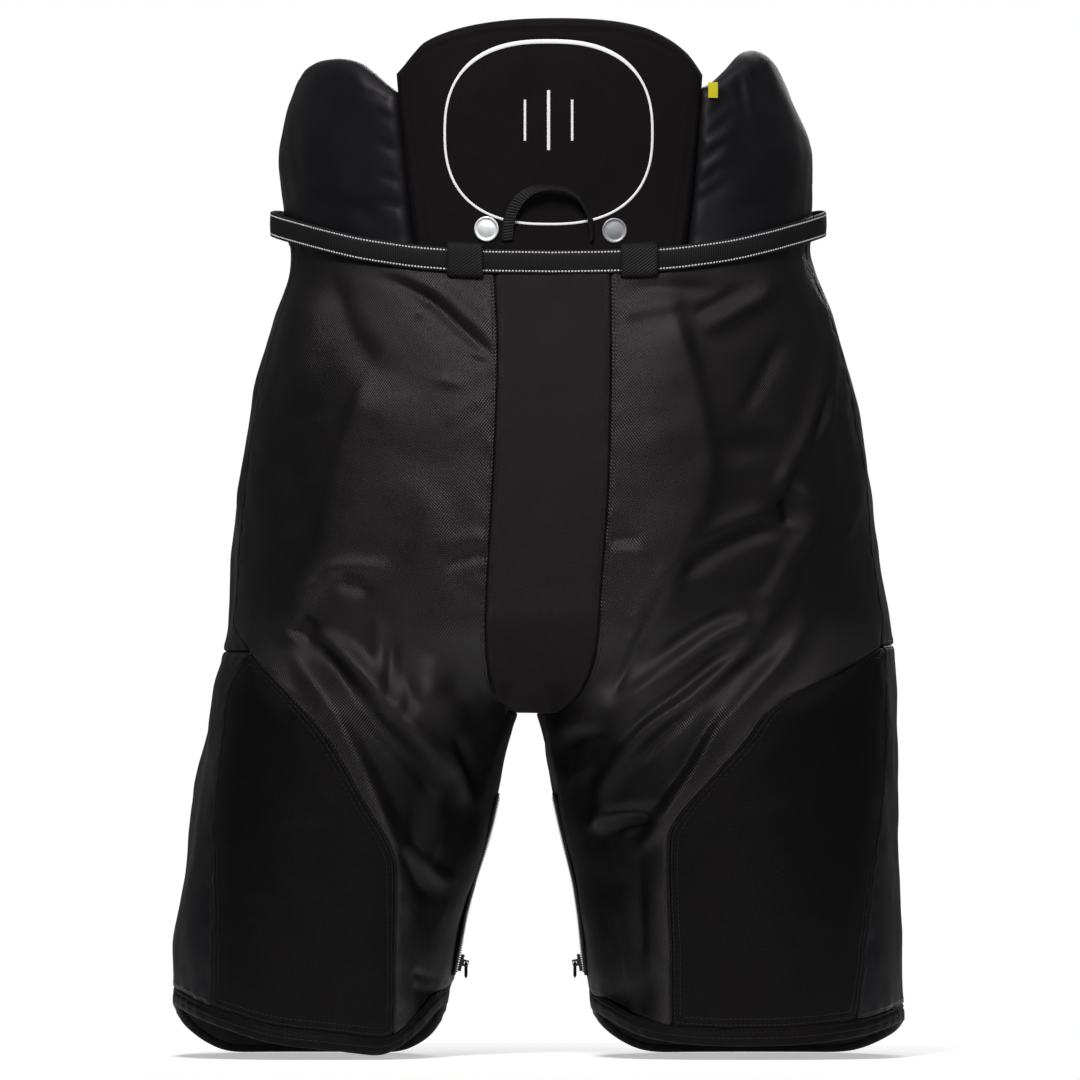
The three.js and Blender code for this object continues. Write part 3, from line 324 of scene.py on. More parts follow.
# (points on the drawing grid, height mm, width on the left of travel, width on the right, fade at start, fade at end)
# travel downwards: left of travel is the larger x
REAR_FOLDS = [
    # upper left
    ([(366, 276), (399, 284), (433, 304), (458, 326), (496, 360)], -1.9, 3.4, 4.5, 0.3, 0.2),
    ([(372, 268), (404, 274), (440, 292), (466, 314), (496, 342)], 1.5, 7, 6, 0.3, 0.2),
    ([(433, 306), (416, 320)], 0.9, 3, 3, 0.3, 0.4),
    ([(452, 374), (450, 392)], 1.1, 8, 8, 0.5, 0.5),
    ([(480, 356), (476, 370)], -1.2, 6, 6, 0.5, 0.5),
    ([(377, 368), (372, 385), (360, 424), (346, 466), (340, 505), (332, 547), (318, 578), (301, 614)], 3.6, 38, 9, 0.2, 0.15),
    ([(324, 262), (332, 284), (346, 326), (366, 357), (377, 370)], -2.0, 9, 12, 0.25, 0.2),
    ([(300, 275), (298, 330), (306, 380), (312, 420)], 1.8, 14, 16, 0.3, 0.4),
    ([(489, 396), (462, 410), (444, 432)], 0.7, 5, 5, 0.3, 0.4),
    ([(488, 418), (466, 436), (452, 452)], 0.6, 5, 5, 0.3, 0.4),
    ([(338, 574), (352, 582), (366, 586), (377, 590)], -2.6, 6, 7, 0.35, 0.4),
    ([(318, 578), (338, 569), (360, 567), (382, 568), (399, 572)], 2.0, 6, 7, 0.3, 0.4),
    ([(489, 553), (466, 558), (444, 572)], -1.6, 5, 7, 0.2, 0.5),
    ([(489, 538), (462, 542), (436, 556)], 1.0, 6, 6, 0.2, 0.5),
    ([(430, 460), (420, 500), (425, 540), (436, 580)], 1.2, 22, 22, 0.4, 0.4),
    # lower left
    ([(278, 643), (306, 612), (316, 591), (337, 574)], 2.8, 7, 6, 0.25, 0.25),
    ([(296, 640), (307, 628), (318, 616)], -2.8, 6, 6, 0.35, 0.35),
    ([(289, 647), (313, 674), (337, 716), (365, 768), (384, 812), (400, 855)], 2.8, 7, 9, 0.2, 0.15),
    ([(313, 622), (344, 650), (372, 681), (400, 713), (427, 740), (455, 764), (483, 803)], 3.4, 8, 7, 0.2, 0.2),
    ([(304, 632), (330, 660), (356, 692), (384, 726), (412, 754), (440, 782), (466, 818)], -3.2, 6, 8, 0.25, 0.25),
    ([(389, 619), (393, 640), (393, 664), (389, 699), (395, 712), (403, 714), (413, 699), (406, 671), (413, 655)], -1.9, 4.5, 4.5, 0.25, 0.35),
    ([(378, 612), (380, 640), (380, 668), (377, 700)], 1.4, 6, 6, 0.3, 0.3),
    ([(430, 650), (428, 680), (432, 706)], 1.5, 9, 9, 0.35, 0.35),
    ([(448, 747), (458, 764), (469, 782), (486, 813)], 1.9, 5, 5, 0.3, 0.3),
    ([(456, 730), (480, 770), (494, 806)], -1.6, 5, 5, 0.3, 0.3),
    ([(448, 671), (470, 695), (492, 723)], -2.6, 12, 12, 0.35, 0.3),
    ([(400, 844), (412, 858), (427, 875), (448, 893), (462, 903)], -2.6, 5, 7, 0.2, 0.35),
    ([(410, 836), (428, 856), (450, 874), (470, 886)], 1.8, 5, 6, 0.25, 0.35),
    ([(452, 775), (450, 800), (448, 820), (445, 846), (441, 872)], 2.2, 9, 9, 0.3, 0.35),
    ([(426, 790), (424, 826), (416, 858)], -1.6, 7, 7, 0.35, 0.3),
    ([(216, 848), (245, 842), (271, 837), (310, 830), (344, 823)], 0.9, 9, 9, 0.3, 0.3),
    ([(216, 884), (264, 888), (310, 897), (358, 905)], 0.8, 8, 8, 0.3, 0.3),
    ([(225, 760), (265, 752), (310, 760)], 0.7, 10, 10, 0.3, 0.4),
    ([(440, 905), (436, 945), (428, 985), (424, 1020)], 1.6, 12, 10, 0.35, 0.2),
    ([(414, 900), (412, 950), (408, 1000)], -1.3, 8, 8, 0.35, 0.3),
    ([(420, 969), (436, 976), (452, 980)], -0.8, 3, 3, 0.3, 0.4),
    ([(418, 984), (434, 992), (450, 997)], -0.8, 3, 3, 0.3, 0.4),
    # upper right
    ([(663, 301), (674, 334), (688, 382), (697, 424), (703, 462), (700, 494), (688, 522), (680, 542), (672, 572), (652, 614)], 3.6, 9, 38, 0.15, 0.2),
    ([(618, 315), (640, 311), (663, 306), (690, 304)], 1.5, 6, 6, 0.15, 0.35),
    ([(626, 289), (660, 288), (700, 289), (725, 290)], -1.5, 5, 5, 0.3, 0.3),
    ([(697, 332), (715, 323), (736, 312), (764, 295), (775, 273)], 1.7, 7, 7, 0.3, 0.3),
    ([(690, 318), (714, 306), (744, 288)], -1.2, 5, 5, 0.3, 0.3),
    ([(786, 334), (770, 364), (753, 396), (736, 424)], -1.3, 6, 6, 0.3, 0.35),
    ([(820, 340), (823, 360), (823, 379), (814, 413), (804, 438), (792, 460), (786, 482)], 1.8, 5, 6, 0.3, 0.25),
    ([(831, 312), (834, 340), (833, 360), (831, 379), (826, 424), (812, 452)], 1.6, 4.5, 4.5, 0.25, 0.3),
    ([(826, 350), (827, 380), (820, 418), (806, 448)], -1.5, 3.5, 3.5, 0.3, 0.3),
    ([(845, 379), (843, 405), (840, 430)], 1.2, 4, 4, 0.35, 0.4),
    ([(772, 474), (790, 482)], 2.0, 8, 8, 0.5, 0.5),
    ([(786, 491), (797, 493), (804, 500), (809, 514), (806, 528), (798, 542), (778, 570), (761, 600), (750, 617)], 2.6, 5.5, 6.5, 0.15, 0.25),
    ([(780, 496), (787, 510), (788, 528)], -3.0, 5, 6, 0.3, 0.3),
    ([(784, 519), (770, 528), (753, 533), (722, 547), (691, 567), (666, 589)], -2.6, 7, 6, 0.2, 0.3),
    ([(770, 508), (740, 520), (712, 532), (684, 546)], 1.7, 7, 7, 0.25, 0.3),
    ([(786, 548), (770, 574), (756, 598)], -1.6, 6, 6, 0.3, 0.3),
    ([(607, 540), (624, 538), (641, 542)], -1.2, 4, 5, 0.2, 0.4),
    ([(607, 552), (628, 552), (650, 560)], 0.9, 5, 5, 0.2, 0.4),
    ([(862, 470), (857, 495), (848, 522), (838, 548)], 1.5, 6, 6, 0.3, 0.35),
    ([(640, 420), (652, 460), (650, 500)], 1.1, 20, 20, 0.4, 0.4),
    # lower right
    ([(796, 567), (783, 588), (762, 619), (748, 634)], 2.4, 5, 6, 0.25, 0.3),
    ([(755, 619), (734, 627), (713, 636), (679, 661), (651, 681), (620, 706)], 2.9, 6, 7, 0.15, 0.25),
    ([(744, 608), (712, 620), (680, 640), (650, 662)], -2.2, 6, 6, 0.25, 0.3),
    ([(758, 626), (748, 644), (734, 661), (693, 699), (654, 726), (616, 761), (595, 789), (592, 810), (575, 834)], 3.2, 6, 7, 0.15, 0.15),
    ([(762, 634), (746, 656), (727, 676), (696, 703), (654, 738), (623, 772)], -3.0, 5, 6, 0.25, 0.25),
    ([(748, 640), (712, 664), (676, 692), (640, 716), (612, 742)], -2.2, 4.5, 4.5, 0.3, 0.3),
    ([(807, 605), (793, 636), (776, 661), (748, 692), (720, 726), (696, 764), (672, 799), (658, 820), (636, 840), (613, 858)], 3.2, 7, 8, 0.2, 0.2),
    ([(790, 626), (768, 652), (740, 684), (708, 722), (684, 760), (660, 792)], -2.4, 5, 6, 0.3, 0.3),
    ([(661, 816), (644, 811), (627, 810), (610, 812), (595, 816), (578, 834)], 2.4, 5, 5, 0.2, 0.25),
    ([(655, 828), (630, 822), (606, 828), (590, 842)], -2.2, 5, 5, 0.25, 0.3),
    ([(693, 567), (680, 573), (668, 581), (656, 600), (647, 619), (638, 640), (630, 657), (621, 674), (613, 688), (609, 709)], -1.5, 4, 4, 0.25, 0.25),
    ([(684, 560), (660, 578), (640, 616), (622, 652)], 1.3, 7, 7, 0.3, 0.3),
    ([(542, 745), (552, 733), (561, 726), (580, 720), (599, 716)], 1.9, 5, 6, 0.2, 0.4),
    ([(548, 760), (566, 744), (590, 734), (612, 728)], -1.7, 5, 5, 0.2, 0.4),
    ([(552, 790), (576, 768), (604, 752)], 1.5, 6, 6, 0.3, 0.4),
    ([(640, 870), (648, 900), (646, 940), (650, 980)], 1.5, 9, 10, 0.35, 0.3),
    ([(606, 880), (612, 925), (618, 970), (626, 1010)], 1.7, 12, 10, 0.3, 0.3),
    ([(626, 870), (630, 915), (634, 960)], -1.4, 6, 6, 0.35, 0.35),
    ([(720, 830), (770, 812), (830, 806)], 0.8, 10, 10, 0.35, 0.35),
    ([(700, 920), (760, 912), (840, 920)], 0.8, 12, 12, 0.35, 0.35),
    # soft body of the hip pads and thighs
    ([(425, 300), (415, 380), (412, 460)], 1.4, 34, 28, 0.4, 0.4),
    ([(640, 330), (648, 400), (655, 470)], 1.2, 26, 30, 0.4, 0.4),
    ([(300, 440), (296, 500), (290, 550)], -1.4, 14, 12, 0.4, 0.4),
    ([(740, 430), (744, 470)], -1.2, 18, 18, 0.5, 0.5),
    ([(290, 760), (292, 840), (290, 930)], 1.4, 34, 30, 0.4, 0.4),
    ([(770, 770), (768, 850), (770, 950)], 1.4, 34, 30, 0.4, 0.4),
]
KIDNEY_FOLDS = [
    ([(705, 139), (720, 128), (735, 115)], -1.3, 2.6, 2.6, 0.1, 0.5),
    ([(704, 150), (720, 140), (738, 126)], 0.9, 2.8, 2.8, 0.1, 0.5),
    ([(703, 163), (714, 152), (728, 139)], -1.2, 2.4, 2.4, 0.1, 0.5),
    ([(701, 176), (714, 166), (730, 152)], 0.8, 2.8, 2.8, 0.1, 0.5),
    ([(700, 188), (711, 176), (724, 163)], -1.1, 2.4, 2.4, 0.1, 0.5),
    ([(697, 204), (712, 194), (730, 184)], -0.9, 2.6, 2.6, 0.1, 0.5),
    ([(707, 118), (718, 110), (728, 98)], -1.2, 2.4, 2.4, 0.1, 0.4),
    ([(739, 78), (742, 100), (749, 124)], -1.5, 2.8, 2.8, 0.1, 0.5),
    ([(746, 76), (748, 98), (754, 120)], 1.0, 2.6, 2.6, 0.1, 0.5),
    ([(753, 72), (755, 96), (751, 118)], -1.3, 2.6, 2.6, 0.1, 0.5),
    ([(718, 86), (727, 98), (736, 112)], -1.1, 2.6, 2.6, 0.1, 0.5),
    ([(762, 66), (764, 90), (772, 118)], -0.7, 3.4, 3.4, 0.2, 0.5),
    ([(765, 130), (775, 160), (780, 195)], 1.0, 12, 14, 0.4, 0.4),
    ([(720, 215), (755, 205), (800, 190)], -0.8, 5, 6, 0.3, 0.4),
    ([(390, 94), (378, 86), (364, 78)], -1.0, 2.8, 2.8, 0.1, 0.5),
    ([(396, 108), (384, 100), (366, 92)], -0.8, 2.6, 2.6, 0.1, 0.5),
    ([(398, 122), (386, 118), (372, 114)], -0.7, 2.4, 2.4, 0.1, 0.5),
    ([(404, 160), (390, 150), (372, 142)], -0.9, 2.8, 2.8, 0.1, 0.5),
    ([(407, 190), (394, 182), (372, 174)], -0.9, 2.8, 2.8, 0.1, 0.5),
    ([(410, 214), (394, 206), (366, 202)], -0.8, 3.0, 3.0, 0.1, 0.5),
    ([(330, 90), (326, 130), (330, 180)], 1.0, 14, 14, 0.4, 0.4),
    ([(300, 200), (340, 205), (390, 222)], -0.9, 5, 6, 0.3, 0.4),
]


def prepare(folds, gain=1.0, crisp=1.0):
    return [(curve_through(mm(f[0])), f[1] * gain, f[2] * crisp, f[3] * crisp, f[4], f[5]) for f in folds]


REAR_FOLDS, KIDNEY_FOLDS = prepare(REAR_FOLDS, 1.75, 0.92), prepare(KIDNEY_FOLDS, 1.25)


def waves(seed, shortest, longest, n=26):
    """A smooth random field, the same every run."""
    g = np.random.default_rng(seed)
    k = g.normal(size=(n, 3))
    k /= np.linalg.norm(k, axis=1)[:, None]
    length = np.exp(g.uniform(math.log(shortest), math.log(longest), n))
    phase = g.uniform(0, 2 * PI, n)
    weight = (length / longest) ** 0.8

    def f(p):
        out = np.zeros(p.shape[:-1])
        for i in range(n):
            out += weight[i] * np.sin((p @ k[i]) * (2 * PI / length[i]) + phase[i])
        return out / math.sqrt(n / 2)

    return f


FINE = waves(3, 16, 46)
BROAD = waves(5, 60, 150)
SIDEWAYS = waves(11, 26, 70)


def fold_field(x, z, folds):
    out = np.zeros(x.shape)
    for line, amount, left, right, start, end in folds:
        out += fold(x, z, line, amount, left, right, start=start, end=end)
    return out


# where the hip pad under the cloth ends, seen from behind
PAD_EDGE = {
    "L": Line([[283, -157], [306, -146], [326, -137], [353, -132], [378, -128], [404, -119], [436, -108], [447, -115], [467, -128], [494, -137], [508, -142]]),
    "R": Line([[283, 68], [310, 81], [329, 86], [342, 91], [360, 98.6], [378, 101], [404, 97], [431, 91], [462, 82], [483, 75]]),
}


def knit_shade_field(side, p, n):
    """Painted shade for the knit, on the back: 1 inside the thighs below the crotch and 0.6 beyond the hip pad's edge,
    0 over the pads. It darkens the colour and lowers the gloss.
    """
    x, y, z = p[..., 0], p[..., 1], p[..., 2]
    back = smooth((-n[..., 1] - 0.05) / 0.3) * (y < 0)
    inward = (THIGH_IN[side](z) - x) * SIGN[side]
    low = smooth((inward + 4) / 26) * smooth((240 - z) / 60)
    out = (x - PAD_EDGE[side](z)) * SIGN[side]
    high = 0.6 * smooth((out + 3) / 16) * smooth((z - 262) / 34)
    return np.clip(low + high, 0, 1) * back


def slack(side, p, back):
    """The unpadded cloth inside the thigh panel hangs closer in than the panel."""
    x, z = p[..., 0], p[..., 2]
    inward = (THIGH_IN[side](z) - x) * SIGN[side]
    return -10.0 * back * smooth(inward / 26) * smooth((250 - z) / 110) * smooth((z - 6) / 40)


def relief(p, n):
    """Height of the cloth above the master surface at p, in millimetres."""
    x, y, z = p[..., 0], p[..., 1], p[..., 2]
    back = smooth((-n[..., 1] - 0.12) / 0.4) * (y < 0)
    front = smooth((n[..., 1] - 0.12) / 0.4) * (y > 0)
    out = np.zeros(x.shape)
    m = back > 0
    if m.any():
        out[m] += back[m] * fold_field(x[m], z[m], REAR_FOLDS)
        left = x < MIDDLE(z)
        out += np.where(left, slack("L", p, back), slack("R", p, back))
    m = front > 0
    if m.any():
        # the front hangs in the same kind of folds, from the same pads, the other way round
        out[m] += 0.8 * front[m] * fold_field(-x[m] - 6, z[m] + 8, REAR_FOLDS)
    side = 1 - back - front
    q = p * np.array([1.0, 1.0, 0.55])
    out += side * 1.1 * SIDEWAYS(q) * smooth((z - 30) / 60)
    out += 0.28 * FINE(p) + 0.55 * BROAD(p)
    # quiet at the belt and at the hem
    return out * smooth((z + 4) / 26) * (0.25 + 0.75 * smooth((508 - z) / 26))


def leg_share(p):
    """How far a point follows its leg rather than the waist."""
    x, y, z = p[..., 0], p[..., 1], p[..., 2]
    reach = np.sqrt(np.maximum(150.0**2 - np.minimum(np.abs(y), 140.0) ** 2, 0))
    low = 320 - reach
    a = smooth((345 - z) / (345 - low))
    zz = np.maximum(z, CROTCH + 3)
    dx = np.maximum(np.where(x < MIDDLE(zz), STRIP["L"](zz) - x, x - STRIP["R"](zz)), 0)
    dz = np.maximum(CROTCH - z, 0)
    b = smooth(np.sqrt((dx / 65) ** 2 + (dz / 36) ** 2))
    return a * b


# ------------------------------------------------------------------ meshes
def make(name, verts, faces, mats, attrs=None, smooth_shade=True, flip=False):
    """A mesh object from draft-millimetre vertices and quads (or polygons)."""
    v = (np.asarray(verts, float).reshape(-1, 3) + SHIFT) * 0.001
    me = bpy.data.meshes.new(name)
    if isinstance(faces, np.ndarray):
        f = faces[:, ::-1] if flip else faces
        k = f.shape[1]
        me.vertices.add(len(v))
        me.vertices.foreach_set("co", v.astype(np.float32).ravel())
        me.loops.add(f.size)
        me.loops.foreach_set("vertex_index", f.astype(np.int32).ravel())
        me.polygons.add(len(f))
        me.polygons.foreach_set("loop_start", (np.arange(len(f)) * k).astype(np.int32))
        me.update(calc_edges=True)
    else:
        if flip:
            faces = [tuple(reversed(f)) for f in faces]
        me.from_pydata([tuple(p) for p in v], [], faces)
        me.update()
    me.validate()
    for key, value in (attrs or {}).items():
        value = np.asarray(value, np.float32)
        if value.ndim == 1:
            a = me.attributes.new(key, "FLOAT", "POINT")
            a.data.foreach_set("value", value)
        else:
            a = me.attributes.new(key, "FLOAT_VECTOR", "POINT")
            a.data.foreach_set("vector", value.ravel())
    me.polygons.foreach_set("use_smooth", np.full(len(me.polygons), smooth_shade))
    for m in mats if isinstance(mats, (list, tuple)) else [mats]:
        me.materials.append(m)
    o = bpy.data.objects.new(name, me)
    bpy.context.scene.collection.objects.link(o)
    return o


def quads(rows, cols, ring=False, base=0):
    j, i = np.mgrid[0 : rows - 1, 0 : (cols if ring else cols - 1)]
    i2 = (i + 1) % cols
    a, b = j * cols + i, j * cols + i2
    return (np.stack([a, b, b + cols, a + cols], -1).reshape(-1, 4) + base).astype(np.int64)


def faces_out(P, N, ring=False):
    """Whether the grid's quads already face along N."""
    a = P[1:, :-1] - P[:-1, :-1]
    b = P[:-1, 1:] - P[:-1, :-1]
    c = np.cross(b, a)
    return np.sum(c * N[:-1, :-1]) > 0


def marks(width, step=2.2, edge=(0.0, 0.0, 0.5, 1.2, 2.1, 3.2, 4.6)):
    """Places across a panel, closer together along both edges; the first is repeated for the turned edge."""
    e = [m for m in edge]
    inner = np.arange(e[-1] + step, width / 2, step)
    half = np.concatenate([e, inner])
    half = half[half < width / 2]
    return np.unique(np.concatenate([half, [width / 2], width - half]), return_index=False) / width if False else np.concatenate([half, [width / 2], (width - half)[::-1]]) / width


def tuck(e, r=2.6, depth=1.9):
    """How far a sewn edge is drawn in, e millimetres from it."""
    t = np.clip(1 - e / r, 0, 1)
    return depth * (1 - np.sqrt(np.maximum(1 - t * t, 0)))


def laid(side, psi, P):
    """Distance across the cloth, so the weave hangs straight on the back, the front and the walls."""
    x, y, z = P[..., 0], P[..., 1], P[..., 2]
    rear = y < 0
    depth = np.where(rear, y + BACK(z), FRONT(z) - y)
    way = np.where(rear, (psi - PI / 2) / 0.4, (1.5 * PI - psi) / 0.4)
    way = lerp(np.clip(way, -1, 1), 1.0, merge(z))
    return SIGN[side] * x + way * depth


def panel(name, side, a, b, low, high, mats, width, height, step=2.2, shape=None, body=None, sew=2.6, depth=1.9, proud=0.0, rows_at=None, extra=None, edge_lines=(1, 1, 1, 1)):
    """A sewn panel: angles a(z)..b(z), heights low(psi)..high(psi). Its edges turn in."""
    u = marks(width, step)
    if rows_at is None:
        v = marks(height, step)
    else:
        v = rows_at
    U, V = np.meshgrid(u, v)
    zm = lerp(float(np.mean(low(np.array([PI / 2])))), float(np.mean(high(np.array([PI / 2])))), V)
    psi = lerp(a(zm), b(zm), U)
    for _ in range(3):
        z = lerp(low(psi), high(psi), V)
        psi = lerp(a(z), b(z), U)
    P, N = surface(side, psi, z)
    # distances in millimetres from the four edges
    arc = np.zeros(P.shape[:2])
    arc[:, 1:] = np.cumsum(np.linalg.norm(P[:, 1:] - P[:, :-1], axis=-1), axis=1)
    w = arc[:, -1:]
    lo_z, hi_z = z[0:1], z[-1:]
    el, er, eb, et = arc, w - arc, z - lo_z, hi_z - z
    far = np.full(arc.shape, 1e3)
    use = [e if k else far for e, k in zip((el, er, eb, et), edge_lines)]
    lift = relief(P, N) + proud
    if shape is not None:
        lift = lift + shape(P, N, U, V, use)
    for e in use:
        lift = lift - tuck(e, sew, depth)
    # puckers run off every sewn edge
    side_edge = np.minimum(use[0], use[1])
    end_edge = np.minimum(use[2], use[3])
    ripple = np.sin(z / 2.9 + 1.7 * np.sin(z / 17.0)) * np.exp(-(((side_edge - 3.4) / 3.2) ** 2)) + np.sin(arc / 2.9 + 1.7 * np.sin(arc / 19.0)) * np.exp(-(((end_edge - 3.4) / 3.2) ** 2))
    lift = lift + 0.34 * ripple
    turned = np.zeros(arc.shape)
    if edge_lines[0]:
        turned[:, 0] = 1
    if edge_lines[1]:
        turned[:, -1] = 1
    if edge_lines[2]:
        turned[0, :] = 1
    if edge_lines[3]:
        turned[-1, :] = 1
    lift = lift - 3.0 * turned
    base_place = P
    P = P + N * lift[..., None]
    near = np.minimum(np.minimum(use[0], use[1]), np.minimum(use[2], use[3]))
    along = np.where(side_edge <= end_edge, z, arc)
    cloth = np.stack([laid(side, psi, base_place), z, 0 * z], -1)
    edge = np.stack([near, along, 0 * z], -1)
    rows, cols = P.shape[:2]
    faces = quads(rows, cols)
    flip = not faces_out(P[1:-1, 1:-1], N[1:-1, 1:-1])
    verts, at = P.reshape(-1, 3), {"cloth": cloth.reshape(-1, 3), "edge": edge.reshape(-1, 3)}
    if extra is not None:
        return P, N, cloth, edge, z, psi, faces, flip
    o = make(name, verts, faces, mats, at, flip=flip)
    weld(o, 0.02)
    attach(o, side)
    return o


def weld(o, distance_mm=0.02):
    """Joins points that lie together."""
    import bmesh

    bm = bmesh.new()
    bm.from_mesh(o.data)
    bmesh.ops.remove_doubles(bm, verts=bm.verts, dist=distance_mm * 0.001)
    bm.to_mesh(o.data)
    bm.free()
    o.data.polygons.foreach_set("use_smooth", np.full(len(o.data.polygons), True))


def draft_points(o):
    co = np.zeros(len(o.data.vertices) * 3, np.float32)
    o.data.vertices.foreach_get("co", co)
    return co.reshape(-1, 3).astype(float) * 1000 - SHIFT


def attach(o, side):
    """The cloth goes with the waist when no point follows its leg, with its leg when every point does; otherwise it is
    left in place, unparented.
    """
    leg = "leg_left" if side == "L" else "leg_right"
    p = draft_points(o)
    w = leg_share(p)
    if w.max() <= 1e-6:
        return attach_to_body(o, "pants")
    if w.min() >= 1 - 1e-6:
        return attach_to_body(o, leg)
    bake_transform(o)
    return o


# ------------------------------------------------------------------ materials
def srgb(c):
    c = np.array(c, float) / 255
    return tuple(float(x) for x in np.where(c <= 0.04045, c / 12.92, ((c + 0.055) / 1.055) ** 2.4)) + (1.0,)


class Nodes:
    def __init__(self, name):
        self.m = bpy.data.materials.new(name)
        self.m.use_nodes = True
        self.t = self.m.node_tree
        self.bsdf = self.t.nodes["Principled BSDF"]

    def n(self, kind, **props):
        node = self.t.nodes.new(kind)
        for k, v in props.items():
            setattr(node, k, v)
        return node

    def put(self, socket, value):
        if hasattr(value, "is_output"):
            self.t.links.new(value, socket)
        else:
            socket.default_value = value

    def math(self, op, a, b=0.0, c=None, clamp=False):
        node = self.n("ShaderNodeMath", operation=op, use_clamp=clamp)
        self.put(node.inputs[0], a)
        self.put(node.inputs[1], b)
        if c is not None:
            self.put(node.inputs[2], c)
        return node.outputs[0]

    def attribute(self, name):
        node = self.n("ShaderNodeAttribute", attribute_name=name)
        sep = self.n("ShaderNodeSeparateXYZ")
        self.t.links.new(node.outputs["Vector"], sep.inputs[0])
        return node.outputs["Vector"], sep.outputs

    def noise(self, vector, scale, detail=3.0, rough=0.55):
        node = self.n("ShaderNodeTexNoise")
        self.put(node.inputs["Vector"], vector)
        node.inputs["Scale"].default_value = scale
        node.inputs["Detail"].default_value = detail
        node.inputs["Roughness"].default_value = rough
        return node.outputs["Fac"]

    def ramp(self, value, lo, hi, a=0.0, b=1.0):
        node = self.n("ShaderNodeMapRange", clamp=True)
        self.put(node.inputs["Value"], value)
        node.inputs["From Min"].default_value = lo
        node.inputs["From Max"].default_value = hi
        node.inputs["To Min"].default_value = a
        node.inputs["To Max"].default_value = b
        return node.outputs["Result"]

    def mix(self, fac, a, b):
        node = self.n("ShaderNodeMix", data_type="RGBA")
        self.put(node.inputs["Factor"], fac)
        self.put(node.inputs[6], a)
        self.put(node.inputs[7], b)
        return node.outputs[2]

    def bump(self, height, distance, strength=1.0, below=None):
        node = self.n("ShaderNodeBump")
        node.inputs["Strength"].default_value = strength
        node.inputs["Distance"].default_value = distance
        self.put(node.inputs["Height"], height)
        if below is not None:
            self.t.links.new(below, node.inputs["Normal"])
        return node.outputs["Normal"]

    def object_vector(self):
        return self.n("ShaderNodeTexCoord").outputs["Object"]


def dyed(c, k):
    """A cloth colour as dyed, before its gloss is added."""
    r = srgb(c)
    return (r[0] * k, r[1] * k, r[2] * k, 1.0)


